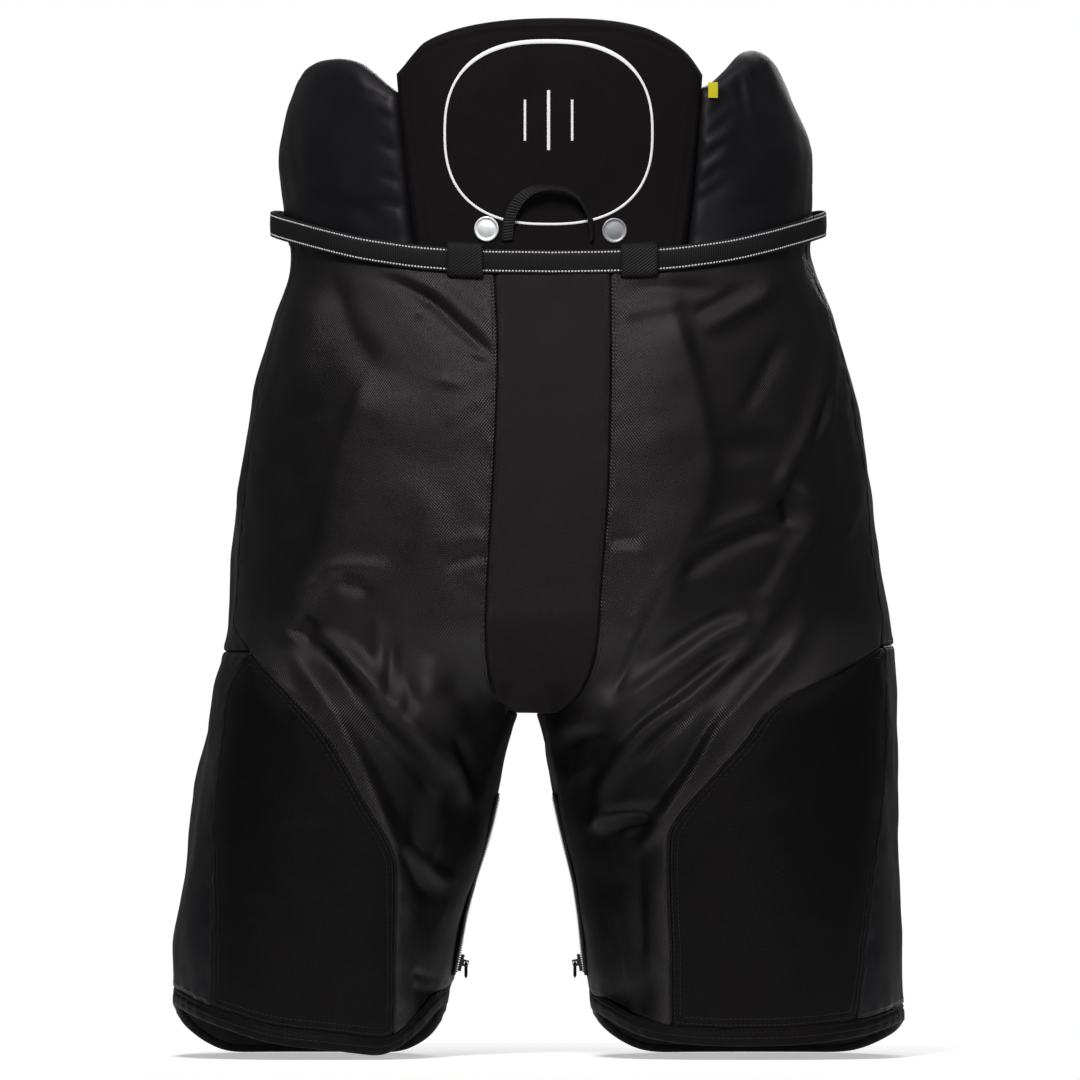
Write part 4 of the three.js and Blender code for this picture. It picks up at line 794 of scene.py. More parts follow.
def cloth_material(name, light, dark, rough=0.6, weave="twill", pitch=1.5, height=0.00010, sheen=0.0, specular=0.5, stitch=None, mottled=0.25, slub=0.3, rough_range=0.08, depth=0.5):
    """Woven or knitted cloth: the pattern follows the attribute "cloth" in millimetres, stitches follow "edge"; the
    third value of "edge" darkens twill and lowers its gloss as painted shade.
    """
    b = Nodes(name)
    _, (s, t, _z) = b.attribute("cloth")
    obj = b.object_vector()
    k = 2 * PI / pitch
    if weave == "twill":
        line = b.math("SINE", b.math("MULTIPLY", b.math("ADD", s, b.math("MULTIPLY", t, 0.8)), k))
        cross = b.math("SINE", b.math("MULTIPLY", b.math("SUBTRACT", b.math("MULTIPLY", s, 0.9), t), k * 1.0))
        pattern = b.math("ADD", b.math("MULTIPLY", line, 0.75), b.math("MULTIPLY", cross, 0.25))
    elif weave == "knit":
        # columns of small loops
        col = b.math("SINE", b.math("MULTIPLY", s, k))
        wob = b.math("MULTIPLY", b.math("ABSOLUTE", col), 0.6)
        row = b.math("SINE", b.math("MULTIPLY", b.math("ADD", b.math("MULTIPLY", t, 1.25), wob), k))
        pattern = b.math("ADD", b.math("MULTIPLY", col, 0.45), b.math("MULTIPLY", row, 0.55))
    elif weave == "rib":
        pattern = b.math("SINE", b.math("MULTIPLY", s, k))
    elif weave == "diagonal":
        pattern = b.math("SINE", b.math("MULTIPLY", b.math("ADD", s, t), k))
    else:
        pattern = b.math("MULTIPLY", b.math("SINE", b.math("MULTIPLY", s, k)), b.math("SINE", b.math("MULTIPLY", t, k)))
    pattern = b.ramp(pattern, -1.0, 1.0)
    fibre = b.noise(obj, 900.0, 2.0)
    mott = b.noise(obj, 34.0, 4.0)
    fac = b.math("MULTIPLY", pattern, 0.65)
    fac = b.math("ADD", fac, b.math("MULTIPLY", b.math("SUBTRACT", fibre, 0.5), slub))
    fac = b.math("ADD", fac, b.math("MULTIPLY", b.math("SUBTRACT", mott, 0.5), mottled), clamp=True)
    colour = b.mix(fac, dyed(dark, depth), dyed(light, depth))
    _, (near, along, _c) = b.attribute("edge")
    # cloth darkens into a seam, and is a little worn on the turned edge beside it
    inner = b.ramp(near, 0.0, 1.4, 0.45, 0.0)
    colour = b.mix(inner, colour, srgb((2, 2, 2)))
    worn = b.math("MULTIPLY", b.math("MULTIPLY", b.ramp(near, 1.2, 2.2), b.ramp(near, 4.2, 2.4)), b.ramp(mott, 0.42, 0.7, 0.0, 0.3))
    colour = b.mix(worn, colour, dyed([min(255, c * 1.5 + 8) for c in light], depth))
    # painted shade: the third value of "edge" darkens the twill towards near black
    if weave == "twill":
        colour = b.mix(b.ramp(_c, 0.0, 1.0, 0.0, 0.38), colour, srgb((3, 3, 3)))
    h = b.math("ADD", pattern, b.math("MULTIPLY", fibre, 0.5))
    normal = b.bump(h, height)
    if stitch:
        for at in stitch:
            across = b.math("ABSOLUTE", b.math("SUBTRACT", near, at))
            band = b.ramp(across, 0.42, 0.22)
            dash = b.math("ABSOLUTE", b.math("SUBTRACT", b.math("FRACT", b.math("DIVIDE", along, 3.1)), 0.5))
            thread = b.math("MULTIPLY", band, b.ramp(dash, 0.40, 0.33))
            colour = b.mix(b.math("MULTIPLY", thread, 0.75), colour, srgb((38, 37, 39)))
            ditch = b.math("SUBTRACT", b.math("MULTIPLY", thread, 1.6), b.math("MULTIPLY", b.ramp(across, 0.9, 0.2), 0.8))
            normal = b.bump(ditch, 0.00035, 1.0, normal)
    b.put(b.bsdf.inputs["Base Color"], colour)
    r = b.math("ADD", b.ramp(mott, 0.3, 0.7, rough - rough_range, rough + rough_range), b.math("MULTIPLY", pattern, -0.05))
    b.put(b.bsdf.inputs["Roughness"], r)
    b.put(b.bsdf.inputs["Normal"], normal)
    b.bsdf.inputs["Specular IOR Level"].default_value = specular * 0.6
    b.bsdf.inputs["Specular Tint"].default_value = (1.0, 0.94, 0.97, 1.0)
    # painted shade: the third value of "edge" also lowers the twill's gloss
    if weave == "twill":
        b.put(b.bsdf.inputs["Specular IOR Level"], b.ramp(_c, 0.0, 1.0, specular * 0.6, specular * 0.24))
    if sheen:
        b.bsdf.inputs["Sheen Weight"].default_value = sheen
        b.bsdf.inputs["Sheen Roughness"].default_value = 0.5
        b.bsdf.inputs["Sheen Tint"].default_value = srgb((150, 145, 150))
    return b.m


def solid_material(name, light, dark, rough=0.4, metal=0.0, grain=0.00002, scale=400.0, brushed=False, specular=0.5):
    b = Nodes(name)
    obj = b.object_vector()
    fac = b.noise(obj, scale, 4.0)
    wear = b.noise(obj, scale * 0.15, 5.0)
    if brushed:
        stretch = b.n("ShaderNodeMapping")
        stretch.inputs["Scale"].default_value = (1, 1, 14)
        b.put(stretch.inputs["Vector"], obj)
        fac = b.noise(stretch.outputs["Vector"], scale * 1.4, 4.0)
    colour = b.mix(b.math("ADD", b.math("MULTIPLY", fac, 0.5), b.math("MULTIPLY", wear, 0.5)), srgb(dark), srgb(light))
    b.put(b.bsdf.inputs["Base Color"], colour)
    b.put(b.bsdf.inputs["Roughness"], b.ramp(wear, 0.3, 0.7, rough * 0.8, rough * 1.25))
    b.bsdf.inputs["Metallic"].default_value = metal
    b.bsdf.inputs["Specular IOR Level"].default_value = specular
    b.put(b.bsdf.inputs["Normal"], b.bump(fac, grain))
    return b.m


def foam_material(name, light, dark):
    b = Nodes(name)
    obj = b.object_vector()
    v = b.n("ShaderNodeTexVoronoi")
    b.put(v.inputs["Vector"], obj)
    v.inputs["Scale"].default_value = 900
    cell = b.ramp(v.outputs["Distance"], 0.0, 0.6)
    b.put(b.bsdf.inputs["Base Color"], b.mix(cell, srgb(dark), srgb(light)))
    b.bsdf.inputs["Roughness"].default_value = 0.95
    b.put(b.bsdf.inputs["Normal"], b.bump(cell, 0.0003))
    return b.m


M = {
    "knit": cloth_material("knit_shell", (42, 37, 40), (9, 8, 9), 0.50, "twill", 2.0, 0.00030, specular=0.58, stitch=(2.6,), depth=0.42),
    "woven": cloth_material("woven_thigh", (34, 29, 33), (8, 7, 8), 0.66, "twill", 1.8, 0.00020, specular=0.16, stitch=(2.6, 6.4), depth=0.26),
    "centre": cloth_material("woven_centre", (52, 47, 48), (32, 29, 30), 0.78, "plain", 1.6, 0.00018, specular=0.16, stitch=(2.2,), depth=0.62),
    "nylon": cloth_material("nylon_side", (27, 27, 33), (13, 13, 17), 0.46, "plain", 0.8, 0.00004, specular=0.26, stitch=(2.4,), slub=0.15),
    "pad": cloth_material("nylon_pad", (37, 35, 41), (20, 19, 23), 0.48, "plain", 0.8, 0.00004, specular=0.32, slub=0.15),
    "spine": cloth_material("spine_cloth", (37, 32, 33), (14, 12, 13), 0.88, "plain", 1.0, 0.00016, specular=0.22, slub=0.9, mottled=0.3),
    "web": cloth_material("belt_web", (40, 39, 41), (12, 12, 13), 0.62, "rib", 1.25, 0.00022, specular=0.4),
    "web_loop": cloth_material("loop_web", (44, 43, 43), (10, 10, 11), 0.66, "diagonal", 1.9, 0.00035, specular=0.4),
    "liner": cloth_material("liner_mesh", (34, 34, 38), (15, 15, 17), 0.85, "knit", 2.2, 0.0002, specular=0.3),
    "zip": cloth_material("zip_cloth", (28, 28, 31), (12, 12, 14), 0.7, "rib", 1.0, 0.0001, specular=0.35),
    "label": cloth_material("label_cloth", (226, 214, 40), (190, 178, 30), 0.7, "plain", 0.7, 0.00006, depth=1.0),
    "thread": cloth_material("reflective_thread", (236, 236, 238), (190, 190, 194), 0.5, "diagonal", 0.6, 0.00005, depth=1.0),
    "print": cloth_material("print_ink", (244, 244, 244), (226, 226, 228), 0.55, "plain", 1.0, 0.00005, mottled=0.1, depth=1.0),
    "eyelet": cloth_material("eyelet_thread", (34, 33, 35), (12, 12, 13), 0.7, "rib", 0.7, 0.0002),
    "foam": foam_material("pad_foam", (62, 62, 66), (40, 40, 44)),
    "plate": solid_material("guard_plastic", (44, 44, 48), (28, 28, 32), 0.42, grain=0.00004),
    "metal": solid_material("button_metal", (252, 252, 252), (214, 216, 220), 0.46, 1.0, 0.00001, 500.0, brushed=True),
    # a darker copy of the button metal, used for the right rear button
    "metal_darker": solid_material("button_metal_darker", (176, 178, 182), (116, 118, 122), 0.46, 1.0, 0.00002, 500.0, brushed=True),
    "dark_metal": solid_material("zip_metal", (120, 122, 126), (70, 72, 76), 0.34, 1.0, 0.00002, 700.0),
    "plastic": solid_material("black_plastic", (26, 26, 28), (12, 12, 14), 0.38, grain=0.00003, scale=900.0),
}


# ------------------------------------------------------------------ outer cloth of each side
def build_side(side):
    name = NAME[side]
    leg = "leg_" + name
    in_edge = strip_edge(side)
    apex = {"L": 258.0, "R": 262.0}[side]

    def out_angle(z):
        seam = angle_at(side, THIGH_IN[side](z), z)
        t = smooth((z - apex) / 22)
        return np.where(z < apex, seam, lerp(seam, SIDE_REAR, t))

    out_edge = ByHeight(out_angle)
    thigh_out = ByHeight(lambda z: np.maximum(angle_at(side, THIGH_OUT[side](z), z), out_angle(np.minimum(z, apex)) + 0.004))
    front_thigh = ByHeight(lambda z: lerp(298 * RAD, SIDE_FRONT, smooth((z - 176) / 86)))
    front_in = front_strip_edge(side)
    base = lambda psi: hem(side, psi) + 11.0
    step = 2.2

    # --- rear knit with the inner wall of the leg
    n0, n1 = int(200 / step), int(290 / step)
    low_rows = np.concatenate([[0, 0], np.array([0.5, 1.2, 2.1, 3.2, 4.6]) / 200, np.linspace(7.0 / 200, 1, n0)])
    high_rows = np.concatenate([np.linspace(1 / n1, 1 - 7.0 / 285, n1), 1 - np.array([4.6, 3.2, 2.1, 1.2, 0.5]) / 285, [1, 1]])
    rows = np.concatenate([low_rows, 1 + high_rows])

    def height(psi, v):
        top = waist(psi) + 9
        return np.where(v <= 1, lerp(base(psi), CROTCH, np.clip(v, 0, 1)), lerp(CROTCH, top, np.clip(v - 1, 0, 1)))

    def grid(u, a, b, rows, left_edge, right_edge, top_edge):
        U, V = np.meshgrid(u, rows)
        z = height(np.full(U.shape, PI / 2), V)
        psi = lerp(a(z), b(z), U)
        for _ in range(3):
            z = height(psi, V)
            psi = lerp(a(z), b(z), U)
        P, N = surface(side, psi, z)
        arc = np.zeros(P.shape[:2])
        arc[:, 1:] = np.cumsum(np.linalg.norm(P[:, 1:] - P[:, :-1], axis=-1), axis=1)
        w = arc[:, -1:]
        far = np.full(arc.shape, 1e3)
        el = arc if left_edge is None else left_edge(arc, z)
        er = (w - arc) if right_edge else far
        eb = z - z[0:1]
        et = (z[-1:] - z) if top_edge else far
        return U, V, psi, z, P, N, arc, w, el, er, eb, et

    def finish_grid(P, N, z, arc, edges, turned, across):
        lift = relief(P, N)
        for e in edges:
            lift = lift - tuck(e)
        side_edge, end_edge = np.minimum(edges[0], edges[1]), np.minimum(edges[2], edges[3])
        lift = lift + 0.34 * (np.sin(z / 2.9 + 1.7 * np.sin(z / 17.0)) * np.exp(-(((side_edge - 3.4) / 3.2) ** 2)) + np.sin(arc / 2.9) * np.exp(-(((end_edge - 3.4) / 3.2) ** 2)))
        lift = lift - 3.0 * turned
        # painted shade for the knit: darker colour and less gloss inside the thighs and beyond the hip pad's edge,
        # carried as the third value of "edge"
        flat = knit_shade_field(side, P, N)
        P = P + N * lift[..., None]
        near = np.minimum(side_edge, end_edge)
        along = np.where(side_edge <= end_edge, z, arc)
        cloth = np.stack([across, z, 0 * z], -1)
        edge = np.stack([near, along, flat], -1)
        return P, cloth, edge

    # main columns; where they meet the inner wall (below z 213) there is no seam
    u = marks(235, step)
    strip_seam = lambda arc, z: arc + 12.0 * smooth((CROTCH + 3 - z) / 5) + 1e3 * (z < CROTCH - 0.1)
    U, V, psi, z, P, N, arc, w, el, er, eb, et = grid(u, in_edge, out_edge, rows, strip_seam, True, True)
    turned = np.zeros(arc.shape)
    turned[:, 0] = (z[:, 0] > CROTCH + 0.1) * smooth((z[:, 0] - CROTCH) / 5)
    turned[:, -1] = 1
    turned[0, :] = 1
    turned[-1, :] = 1
    P, cloth, edge = finish_grid(P, N, z, arc, (el, er, eb, et), turned, laid(side, psi, P))
    main_faces = quads(*P.shape[:2])
    if not faces_out(P[2:-2, 2:-2], N[2:-2, 2:-2]):
        main_faces = main_faces[:, ::-1]
    verts, cl, ed = [P.reshape(-1, 3)], [cloth.reshape(-1, 3)], [edge.reshape(-1, 3)]
    # inner wall
    rows_in = low_rows
    u_in = np.linspace(0, 1, int(100 / step))
    a_in, b_in = (lambda z: np.full(np.shape(z), -TURN)), (lambda z: np.full(np.shape(z), TURN))
    U, V, psi2, z2, P2, N2, arc2, w2, el2, er2, eb2, et2 = grid(u_in, a_in, b_in, rows_in, None, False, False)
    top_edge = CROTCH - z2
    turned = np.zeros(arc2.shape)
    turned[:, 0] = 1
    turned[0, :] = 1
    fade = smooth((w2 - arc2) / 12.0)
    P2, cloth2, edge2 = finish_grid(P2, N2, z2, arc2, (arc2, np.full(arc2.shape, 1e3), eb2, top_edge + 1e3 * (1 - fade)), turned, laid(side, psi2, P2))
    f2 = quads(*P2.shape[:2])
    if not faces_out(P2[2:-2, 2:-2], N2[2:-2, 2:-2]):
        f2 = f2[:, ::-1]
    # share the last column's places with the main grid's first column
    nrow = len(rows_in)
    P2[:, -1] = P[:nrow, 0]
    base_index = len(verts[0])
    verts.append(P2.reshape(-1, 3))
    cl.append(cloth2.reshape(-1, 3))
    ed.append(edge2.reshape(-1, 3))
    allf = np.vstack([main_faces, f2 + base_index])
    o = make(f"seat_and_inner_leg_{name}", np.vstack(verts), allf, M["knit"], {"cloth": np.vstack(cl), "edge": np.vstack(ed)})
    weld(o)
    attach(o, side)
    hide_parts(f"seat_panel_{name}", f"inner_thigh_panel_{name}")

    # --- front knit: from the front thigh seam and the side seam to the fly
    rows_f = rows
    uf = marks(190, step)
    U, V, psi, z, P, N, arc, w, el, er, eb, et = grid(uf, front_thigh, front_in, rows_f, None, True, True)
    turned = np.zeros(arc.shape)
    turned[:, 0] = turned[:, -1] = 1
    turned[0, :] = turned[-1, :] = 1
    P, cloth, edge = finish_grid(P, N, z, arc, (el, er, eb, et), turned, laid(side, psi, P))
    f = quads(*P.shape[:2])
    if not faces_out(P[2:-2, 2:-2], N[2:-2, 2:-2]):
        f = f[:, ::-1]
    o = make(f"front_shell_{name}", P.reshape(-1, 3), f, M["knit"], {"cloth": cloth.reshape(-1, 3), "edge": edge.reshape(-1, 3)})
    weld(o)
    attach(o, side)
    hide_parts(f"front_hip_panel_{name}")

    # --- rear thigh panel: foam behind it makes it slightly full
    def full(P, N, U, V, use):
        e = np.minimum(np.minimum(use[0], use[1]), np.minimum(use[2], use[3]))
        return 2.2 * smooth(e / 26.0)

    o = panel(f"rear_thigh_cover_{name}", side, out_edge, thigh_out, base, lambda psi: np.full(np.shape(psi), apex - 0.5), M["woven"], 110, 240, step, shape=full)
    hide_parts(f"rear_thigh_panel_{name}")
    o = panel(f"front_thigh_cover_{name}", side, lambda z: np.full(np.shape(z), SIDE_FRONT), front_thigh, base, lambda psi: np.full(np.shape(psi), 261.0), M["woven"], 130, 245, step, shape=full)
    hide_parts(f"front_thigh_panel_{name}")
    o = panel(f"side_thigh_cover_{name}", side, thigh_out, lambda z: np.full(np.shape(z), SIDE_FRONT), base, lambda psi: np.full(np.shape(psi), apex + 1.0), M["nylon"], 110, 240, step, proud=-0.3)
    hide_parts(f"side_thigh_panel_{name}")
    o = panel(f"hip_side_cover_{name}", side, out_edge, lambda z: np.full(np.shape(z), SIDE_FRONT), lambda psi: np.full(np.shape(psi), apex + 1.0), lambda psi: waist(psi) + 9, M["nylon"], 100, 250, step, proud=-0.3)
    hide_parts(f"hip_side_panel_{name}")

    # --- hem band
    def hem_grid():
        psi = np.linspace(0, 2 * PI, 360, endpoint=False)
        v = [(4.2, 9.0), (3.6, 3.0), (2.7, 0.9), (1.5, 0.0), (0.4, 0.5), (-0.2, 1.8), (-0.35, 4.5), (-0.3, 6.8), (0.0, 8.2), (0.8, 9.2), (0.0, 10.2), (0.5, 11.2), (2.4, 12.4)]
        P, cl, ed = [], [], []
        for k, (d, h) in enumerate(v):
            z = hem(side, psi) + h
            p, n = surface(side, psi, z, 0.0)
            wob = 0.35 * np.sin(psi * 41 + 2 * np.sin(psi * 7)) * (h > 1)
            p = p - n * (d + wob)[..., None]
            P.append(p)
            arc = psi * 110
            cl.append(np.stack([arc, np.full(psi.shape, h), 0 * psi], -1))
            ed.append(np.stack([np.full(psi.shape, 2.6 + abs(h - 9.0)), arc, 0 * psi], -1))
        return np.array(P), np.array(cl), np.array(ed)

    P, cl, ed = hem_grid()
    _, n = surface(side, np.linspace(0, 2 * PI, P.shape[1], endpoint=False), np.full(P.shape[1], 20.0))
    f = quads(P.shape[0], P.shape[1], ring=True)
    k = 6
    c = np.cross(P[k, 1] - P[k, 0], P[k + 1, 0] - P[k, 0])
    if np.dot(c, n[0]) < 0:
        f = f[:, ::-1]
    o = make(f"hem_{name}", P.reshape(-1, 3), f, M["woven"], {"cloth": cl.reshape(-1, 3), "edge": ed.reshape(-1, 3)})
    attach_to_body(o, leg)
    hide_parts(f"hem_band_{name}")


for side in "LR":
    build_side(side)


# ------------------------------------------------------------------ centre strip, under the crotch and up to the fly
def centre_strip():
    step = 2.2
    u = marks(74, 2.4)
    rows, norms, tags = [], [], []
    s_run = 0.0
    left, right = strip_edge("L"), strip_edge("R")
    fl, fr = front_strip_edge("L"), front_strip_edge("R")

    under = []

    def allowance(psi, z, dpsi, dz):
        """Where the strip's two edges run on beneath the neighbouring cloth."""
        a, _ = surface("L", psi[0] + dpsi, z + dz, 3.6)
        b, _ = surface("R", psi[1] + dpsi, z + dz, 3.6)
        under.append((a, b))

    def row(z, front):
        if front:
            a, _ = surface("L", fl(z), z)
            b, _ = surface("R", fr(z), z)
            allowance((fl(z), fr(z)), z, -0.05, 0.0)
        else:
            allowance((left(z), right(z)), z, 0.05, 0.0)
            a, _ = surface("L", left(z), z)
            b, _ = surface("R", right(z), z)
        x = lerp(a[0], b[0], u)
        y = wall_y(x, np.full(x.shape, z), front)
        # ease the middle onto the two panel edges
        line = lerp(a[1], b[1], u)
        k = smooth((240 - z) / 27) * 0.35
        y = lerp(y, line, k)
        return np.stack([x, y, np.full(x.shape, z)], -1), np.array([0, 1.0 if front else -1.0, 0])

    for z in np.concatenate([np.arange(504, CROTCH + 1, -step), [CROTCH + 0.2]]):
        p, n = row(z, False)
        tilt = smooth((262 - z) / 50)
        rows.append(p)
        norms.append(np.array([0, -1 + 0.4 * tilt, -0.8 * tilt]))
    last = rows[-1]
    for psi in np.linspace(TURN, -TURN, 30)[1:-1]:
        a, _ = surface("L", psi, CROTCH)
        b, _ = surface("R", psi, CROTCH)
        allowance((psi, psi), CROTCH, 0.0, -5.0)
        x = lerp(a[0], b[0], u)
        y = lerp(a[1], b[1], u)
        t = smooth(abs(psi) / TURN * 1.2 - 0.2)
        extra = (last[:, 1] - lerp(last[0, 1], last[-1, 1], u)) * t * (1 if psi > 0 else -1)
        z = CROTCH + 3.0 * 4 * u * (1 - u) * (1 - t)
        rows.append(np.stack([x, y + extra, z], -1))
        norms.append(np.array([0, 0, -1.0]))
    for z in np.concatenate([[CROTCH + 0.2], np.arange(CROTCH + 3, 374, step)]):
        p, n = row(z, True)
        tilt = smooth((262 - z) / 50)
        rows.append(p)
        norms.append(np.array([0, 1 - 0.4 * tilt, -0.8 * tilt]))
    P = np.array(rows)
    N = np.repeat(np.array(norms)[:, None], len(u), 1)
    N /= np.linalg.norm(N, axis=-1)[..., None]
    arc = np.zeros(P.shape[:2])
    arc[:, 1:] = np.cumsum(np.linalg.norm(P[:, 1:] - P[:, :-1], axis=-1), axis=1)
    run = np.concatenate([[0], np.cumsum(np.linalg.norm(P[1:, len(u) // 2] - P[:-1, len(u) // 2], axis=-1))])
    run = np.repeat(run[:, None], len(u), 1)
    w = arc[:, -1:]
    el, er = arc, w - arc
    e = np.minimum(el, er)
    lift = 0.25 * FINE(P) + 0.5 * BROAD(P)
    rear = smooth((-P[..., 1] - 80) / 20)
    soft = [
        ([(500, 372), (540, 380), (590, 372)], 0.5, 8, 8, 0.2, 0.2),
        ([(496, 560), (530, 572), (592, 560)], 0.6, 8, 8, 0.2, 0.2),
        ([(492, 620), (520, 640), (560, 648)], 0.9, 6, 8, 0.2, 0.3),
        ([(598, 640), (570, 664), (540, 674)], 0.9, 6, 8, 0.2, 0.3),
        ([(505, 690), (530, 668), (560, 660)], -0.9, 5, 5, 0.2, 0.3),
    ]
    lift = lift + rear * fold_field(P[..., 0], P[..., 2], prepare(soft))
    lift = lift - tuck(e, 2.4, 1.7) + 0.9 * smooth(e / 5) - 0.2
    lift = lift + 0.2 * np.sin(run / 2.7) * np.exp(-(((e - 3) / 3) ** 2))
    turned = np.zeros(arc.shape)
    turned[0] = turned[-1] = 1
    P = P + N * (lift - 3 * turned)[..., None]
    P[:, 0] = np.array([a for a, _ in under])
    P[:, -1] = np.array([b for _, b in under])
    f = quads(*P.shape[:2])
    if not faces_out(P[3:-3, 3:-3], N[3:-3, 3:-3]):
        f = f[:, ::-1]
    cloth = np.stack([arc - w / 2, run, 0 * run], -1)
    edge = np.stack([e, run, 0 * run], -1)
    o = make("centre_strip", P.reshape(-1, 3), f, M["centre"], {"cloth": cloth.reshape(-1, 3), "edge": edge.reshape(-1, 3)})
    weld(o)
    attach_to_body(o, "pants")
    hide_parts("seat_center_panel", "front_center_panel", "crotch_gusset")


centre_strip()


# ------------------------------------------------------------------ pads with rounded edges
def pad_grid(name, u_mm, v_mm, place, mats, out, inn, r_out, r_in, attrs_scale=1.0, lift=None, corner=0.0):
    """A closed padded piece. place(u, v) gives a base point and an outward normal; the faces lie out and inn inside it."""
    def even(width, step, r):
        e = r * (1 - np.cos(np.linspace(0, PI / 2, 7)))
        mid = np.linspace(e[-1], width - e[-1], max(3, int((width - 2 * e[-1]) / step)))
        return np.concatenate([e[:-1], mid, width - e[:-1][::-1]]) / width

    r = max(r_out, r_in)
    u, v = even(u_mm, 2.6, r), even(v_mm, 2.6, r)
    U, V = np.meshgrid(u, v)
    B, N = place(U, V)
    arc = np.zeros(B.shape[:2])
    arc[:, 1:] = np.cumsum(np.linalg.norm(B[:, 1:] - B[:, :-1], axis=-1), axis=1)
    up = np.zeros(B.shape[:2])
    up[1:] = np.cumsum(np.linalg.norm(B[1:] - B[:-1], axis=-1), axis=0)
    el, er, eb, et = arc, arc[:, -1:] - arc, up, up[-1:] - up
    near = np.minimum(np.minimum(el, er), np.minimum(eb, et))

    def rounding(r):
        total = np.zeros(near.shape)
        for e in (el, er, eb, et):
            t = np.clip(1 - e / r, 0, 1)
            total = np.maximum(total, 0) + 0
            total = 1 - (1 - total) * np.sqrt(np.maximum(1 - t * t, 0))
        return total

    mid = (out + inn) / 2
    ro, ri = rounding(r_out), rounding(r_in)
    d_out = out + (mid - out) * ro
    d_in = inn + (mid - inn) * ri
    if lift is not None:
        d_out = d_out - lift(B, N, U, V, (el, er, eb, et)) * (1 - ro)
    outer = B - N * d_out[..., None]
    inner = B - N * d_in[..., None]
    rows, cols = B.shape[:2]
    f1 = quads(rows, cols)
    f2 = quads(rows, cols, base=rows * cols)[:, ::-1]
    if not faces_out(outer[2:-2, 2:-2], N[2:-2, 2:-2]):
        f1, f2 = f1[:, ::-1], f2[:, ::-1]
    cloth = np.stack([arc, up, 0 * up], -1).reshape(-1, 3)
    edge = np.stack([near + 6, np.where(np.minimum(el, er) < np.minimum(eb, et), up, arc), 0 * up], -1).reshape(-1, 3)
    o = make(name, np.vstack([outer.reshape(-1, 3), inner.reshape(-1, 3)]), np.vstack([f1, f2]), mats, {"cloth": np.vstack([cloth, cloth]), "edge": np.vstack([edge, edge])})
    weld(o, 0.05)
    return o


def spine_pad():
    z0 = 509.0

    def place(U, V):
        x_top = lerp(SPINE_SIDE["L"](600), SPINE_SIDE["R"](600), U)
        z = lerp(z0, SPINE_TOP(x_top), V)
        x = lerp(SPINE_SIDE["L"](z), SPINE_SIDE["R"](z), U)
        y = wall_y(x, z)
        P = np.stack([x, y, z], -1)
        N = np.zeros(P.shape)
        N[..., 1] = -1
        return P, N

    def lift(B, N, U, V, e):
        el, er, eb, et = e
        near = np.minimum(np.minimum(el, er), et)
        crown = 1.6 * smooth(near / 30)
        channel = -2.0 * np.exp(-(((near - 7.0) / 1.1) ** 2)) + 0.5 * np.exp(-(((near - 10.0) / 1.6) ** 2))
        return crown + channel + 0.25 * FINE(B) + 0.5 * BROAD(B)

    o = pad_grid("spine_pad_cover", 190, 150, place, M["spine"], -3.0, 17.5, 7.0, 6.0, lift=lift)
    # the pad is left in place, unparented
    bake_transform(o)
    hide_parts("spine_pad", "spine_pad_base")
    return o


spine = spine_pad()


def kidney_pad(side):
    edge = ByHeight(lambda z: angle_at(side, SPINE_SIDE[side](z) + SIGN[side] * 1.0, z), 480, 670, 400)
    last = SPREAD + 0.955 * FULL

    def place(U, V):
        z = np.full(U.shape, 560.0)
        for _ in range(5):
            psi = lerp(edge(z), last, U)
            z = lerp(waist(psi) - 2, KIDNEY_TOP[side]((psi - SPREAD) / FULL), V)
        return surface(side, psi, z)

    def lift(B, N, U, V, e):
        el, er, eb, et = e
        back = smooth((-N[..., 1] - 0.1) / 0.3)
        out = back * fold_field(B[..., 0], B[..., 2], KIDNEY_FOLDS)
        # gathers along the top piping and at the inner seam
        out += 0.35 * np.sin(el / 2.6 + 2 * np.sin(el / 23)) * np.exp(-((et / 7.0) ** 2))
        out += 0.35 * np.sin(eb / 2.8 + 2 * np.sin(eb / 15)) * np.exp(-((el / 7.0) ** 2)) * (1.6 if side == "R" else 1.0)
        out += 1.2 * smooth(np.minimum(np.minimum(el, er), et) / 26) + 0.4 * FINE(B) + 0.5 * BROAD(B)
        return out * smooth((eb - 2) / 14)

    o = pad_grid(f"kidney_pad_cover_{NAME[side]}", 330, 110, place, M["pad"], 0.2, 19.5, 8.0, 7.0, lift=lift)
    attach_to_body(o, "pants")
    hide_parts(f"kidney_pad_{NAME[side]}")


kidney_pad("L")
kidney_pad("R")


# ------------------------------------------------------------------ padding and lining inside
def inner_pad(name, side, a, b, lo, hi, out, inn, mat, body, node, width, height):
    def place(U, V):
        z = lerp(lo, hi, V)
        return surface(side, lerp(a(z), b(z), U), z)

    o = pad_grid(name, width, height, place, mat, out, inn, 4.0, 4.0)
    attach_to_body(o, body)
    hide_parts(node)


HIP_REAR = {
    "L": Line([[262, -140], [292, -138], [317, -125], [375, -109], [433, -87], [480, -84]]),
    "R": Line([[262, 120], [292, 118], [340, 104], [380, 88], [433, 80], [480, 84]]),
}
const = lambda v: (lambda z: np.full(np.shape(z), v))
for side in "LR":
    n = NAME[side]
    inner_pad(f"hip_pad_foam_{n}", side, ByHeight(lambda z: angle_at(side, HIP_REAR[side](z), z)), const(246 * RAD), 312, 482, 9.0, 17.4, M["foam"], "pants", f"hip_pad_{n}", 260, 170)
    inner_pad(f"rear_thigh_foam_{n}", side, ByHeight(lambda z: angle_at(side, THIGH_IN[side](z) + SIGN[side] * 12, z)), ByHeight(lambda z: angle_at(side, THIGH_OUT[side](z) - SIGN[side] * 12, z)), 40, 196, 6.5, 14.0, M["foam"], f"leg_{n}", f"rear_thigh_pad_{n}", 90, 156)
    inner_pad(f"thigh_guard_padding_{n}", side, const(207 * RAD), const(295 * RAD), 40, 198, 9.2, 17.4, M["foam"], f"leg_{n}", f"thigh_guard_foam_{n}", 170, 158)


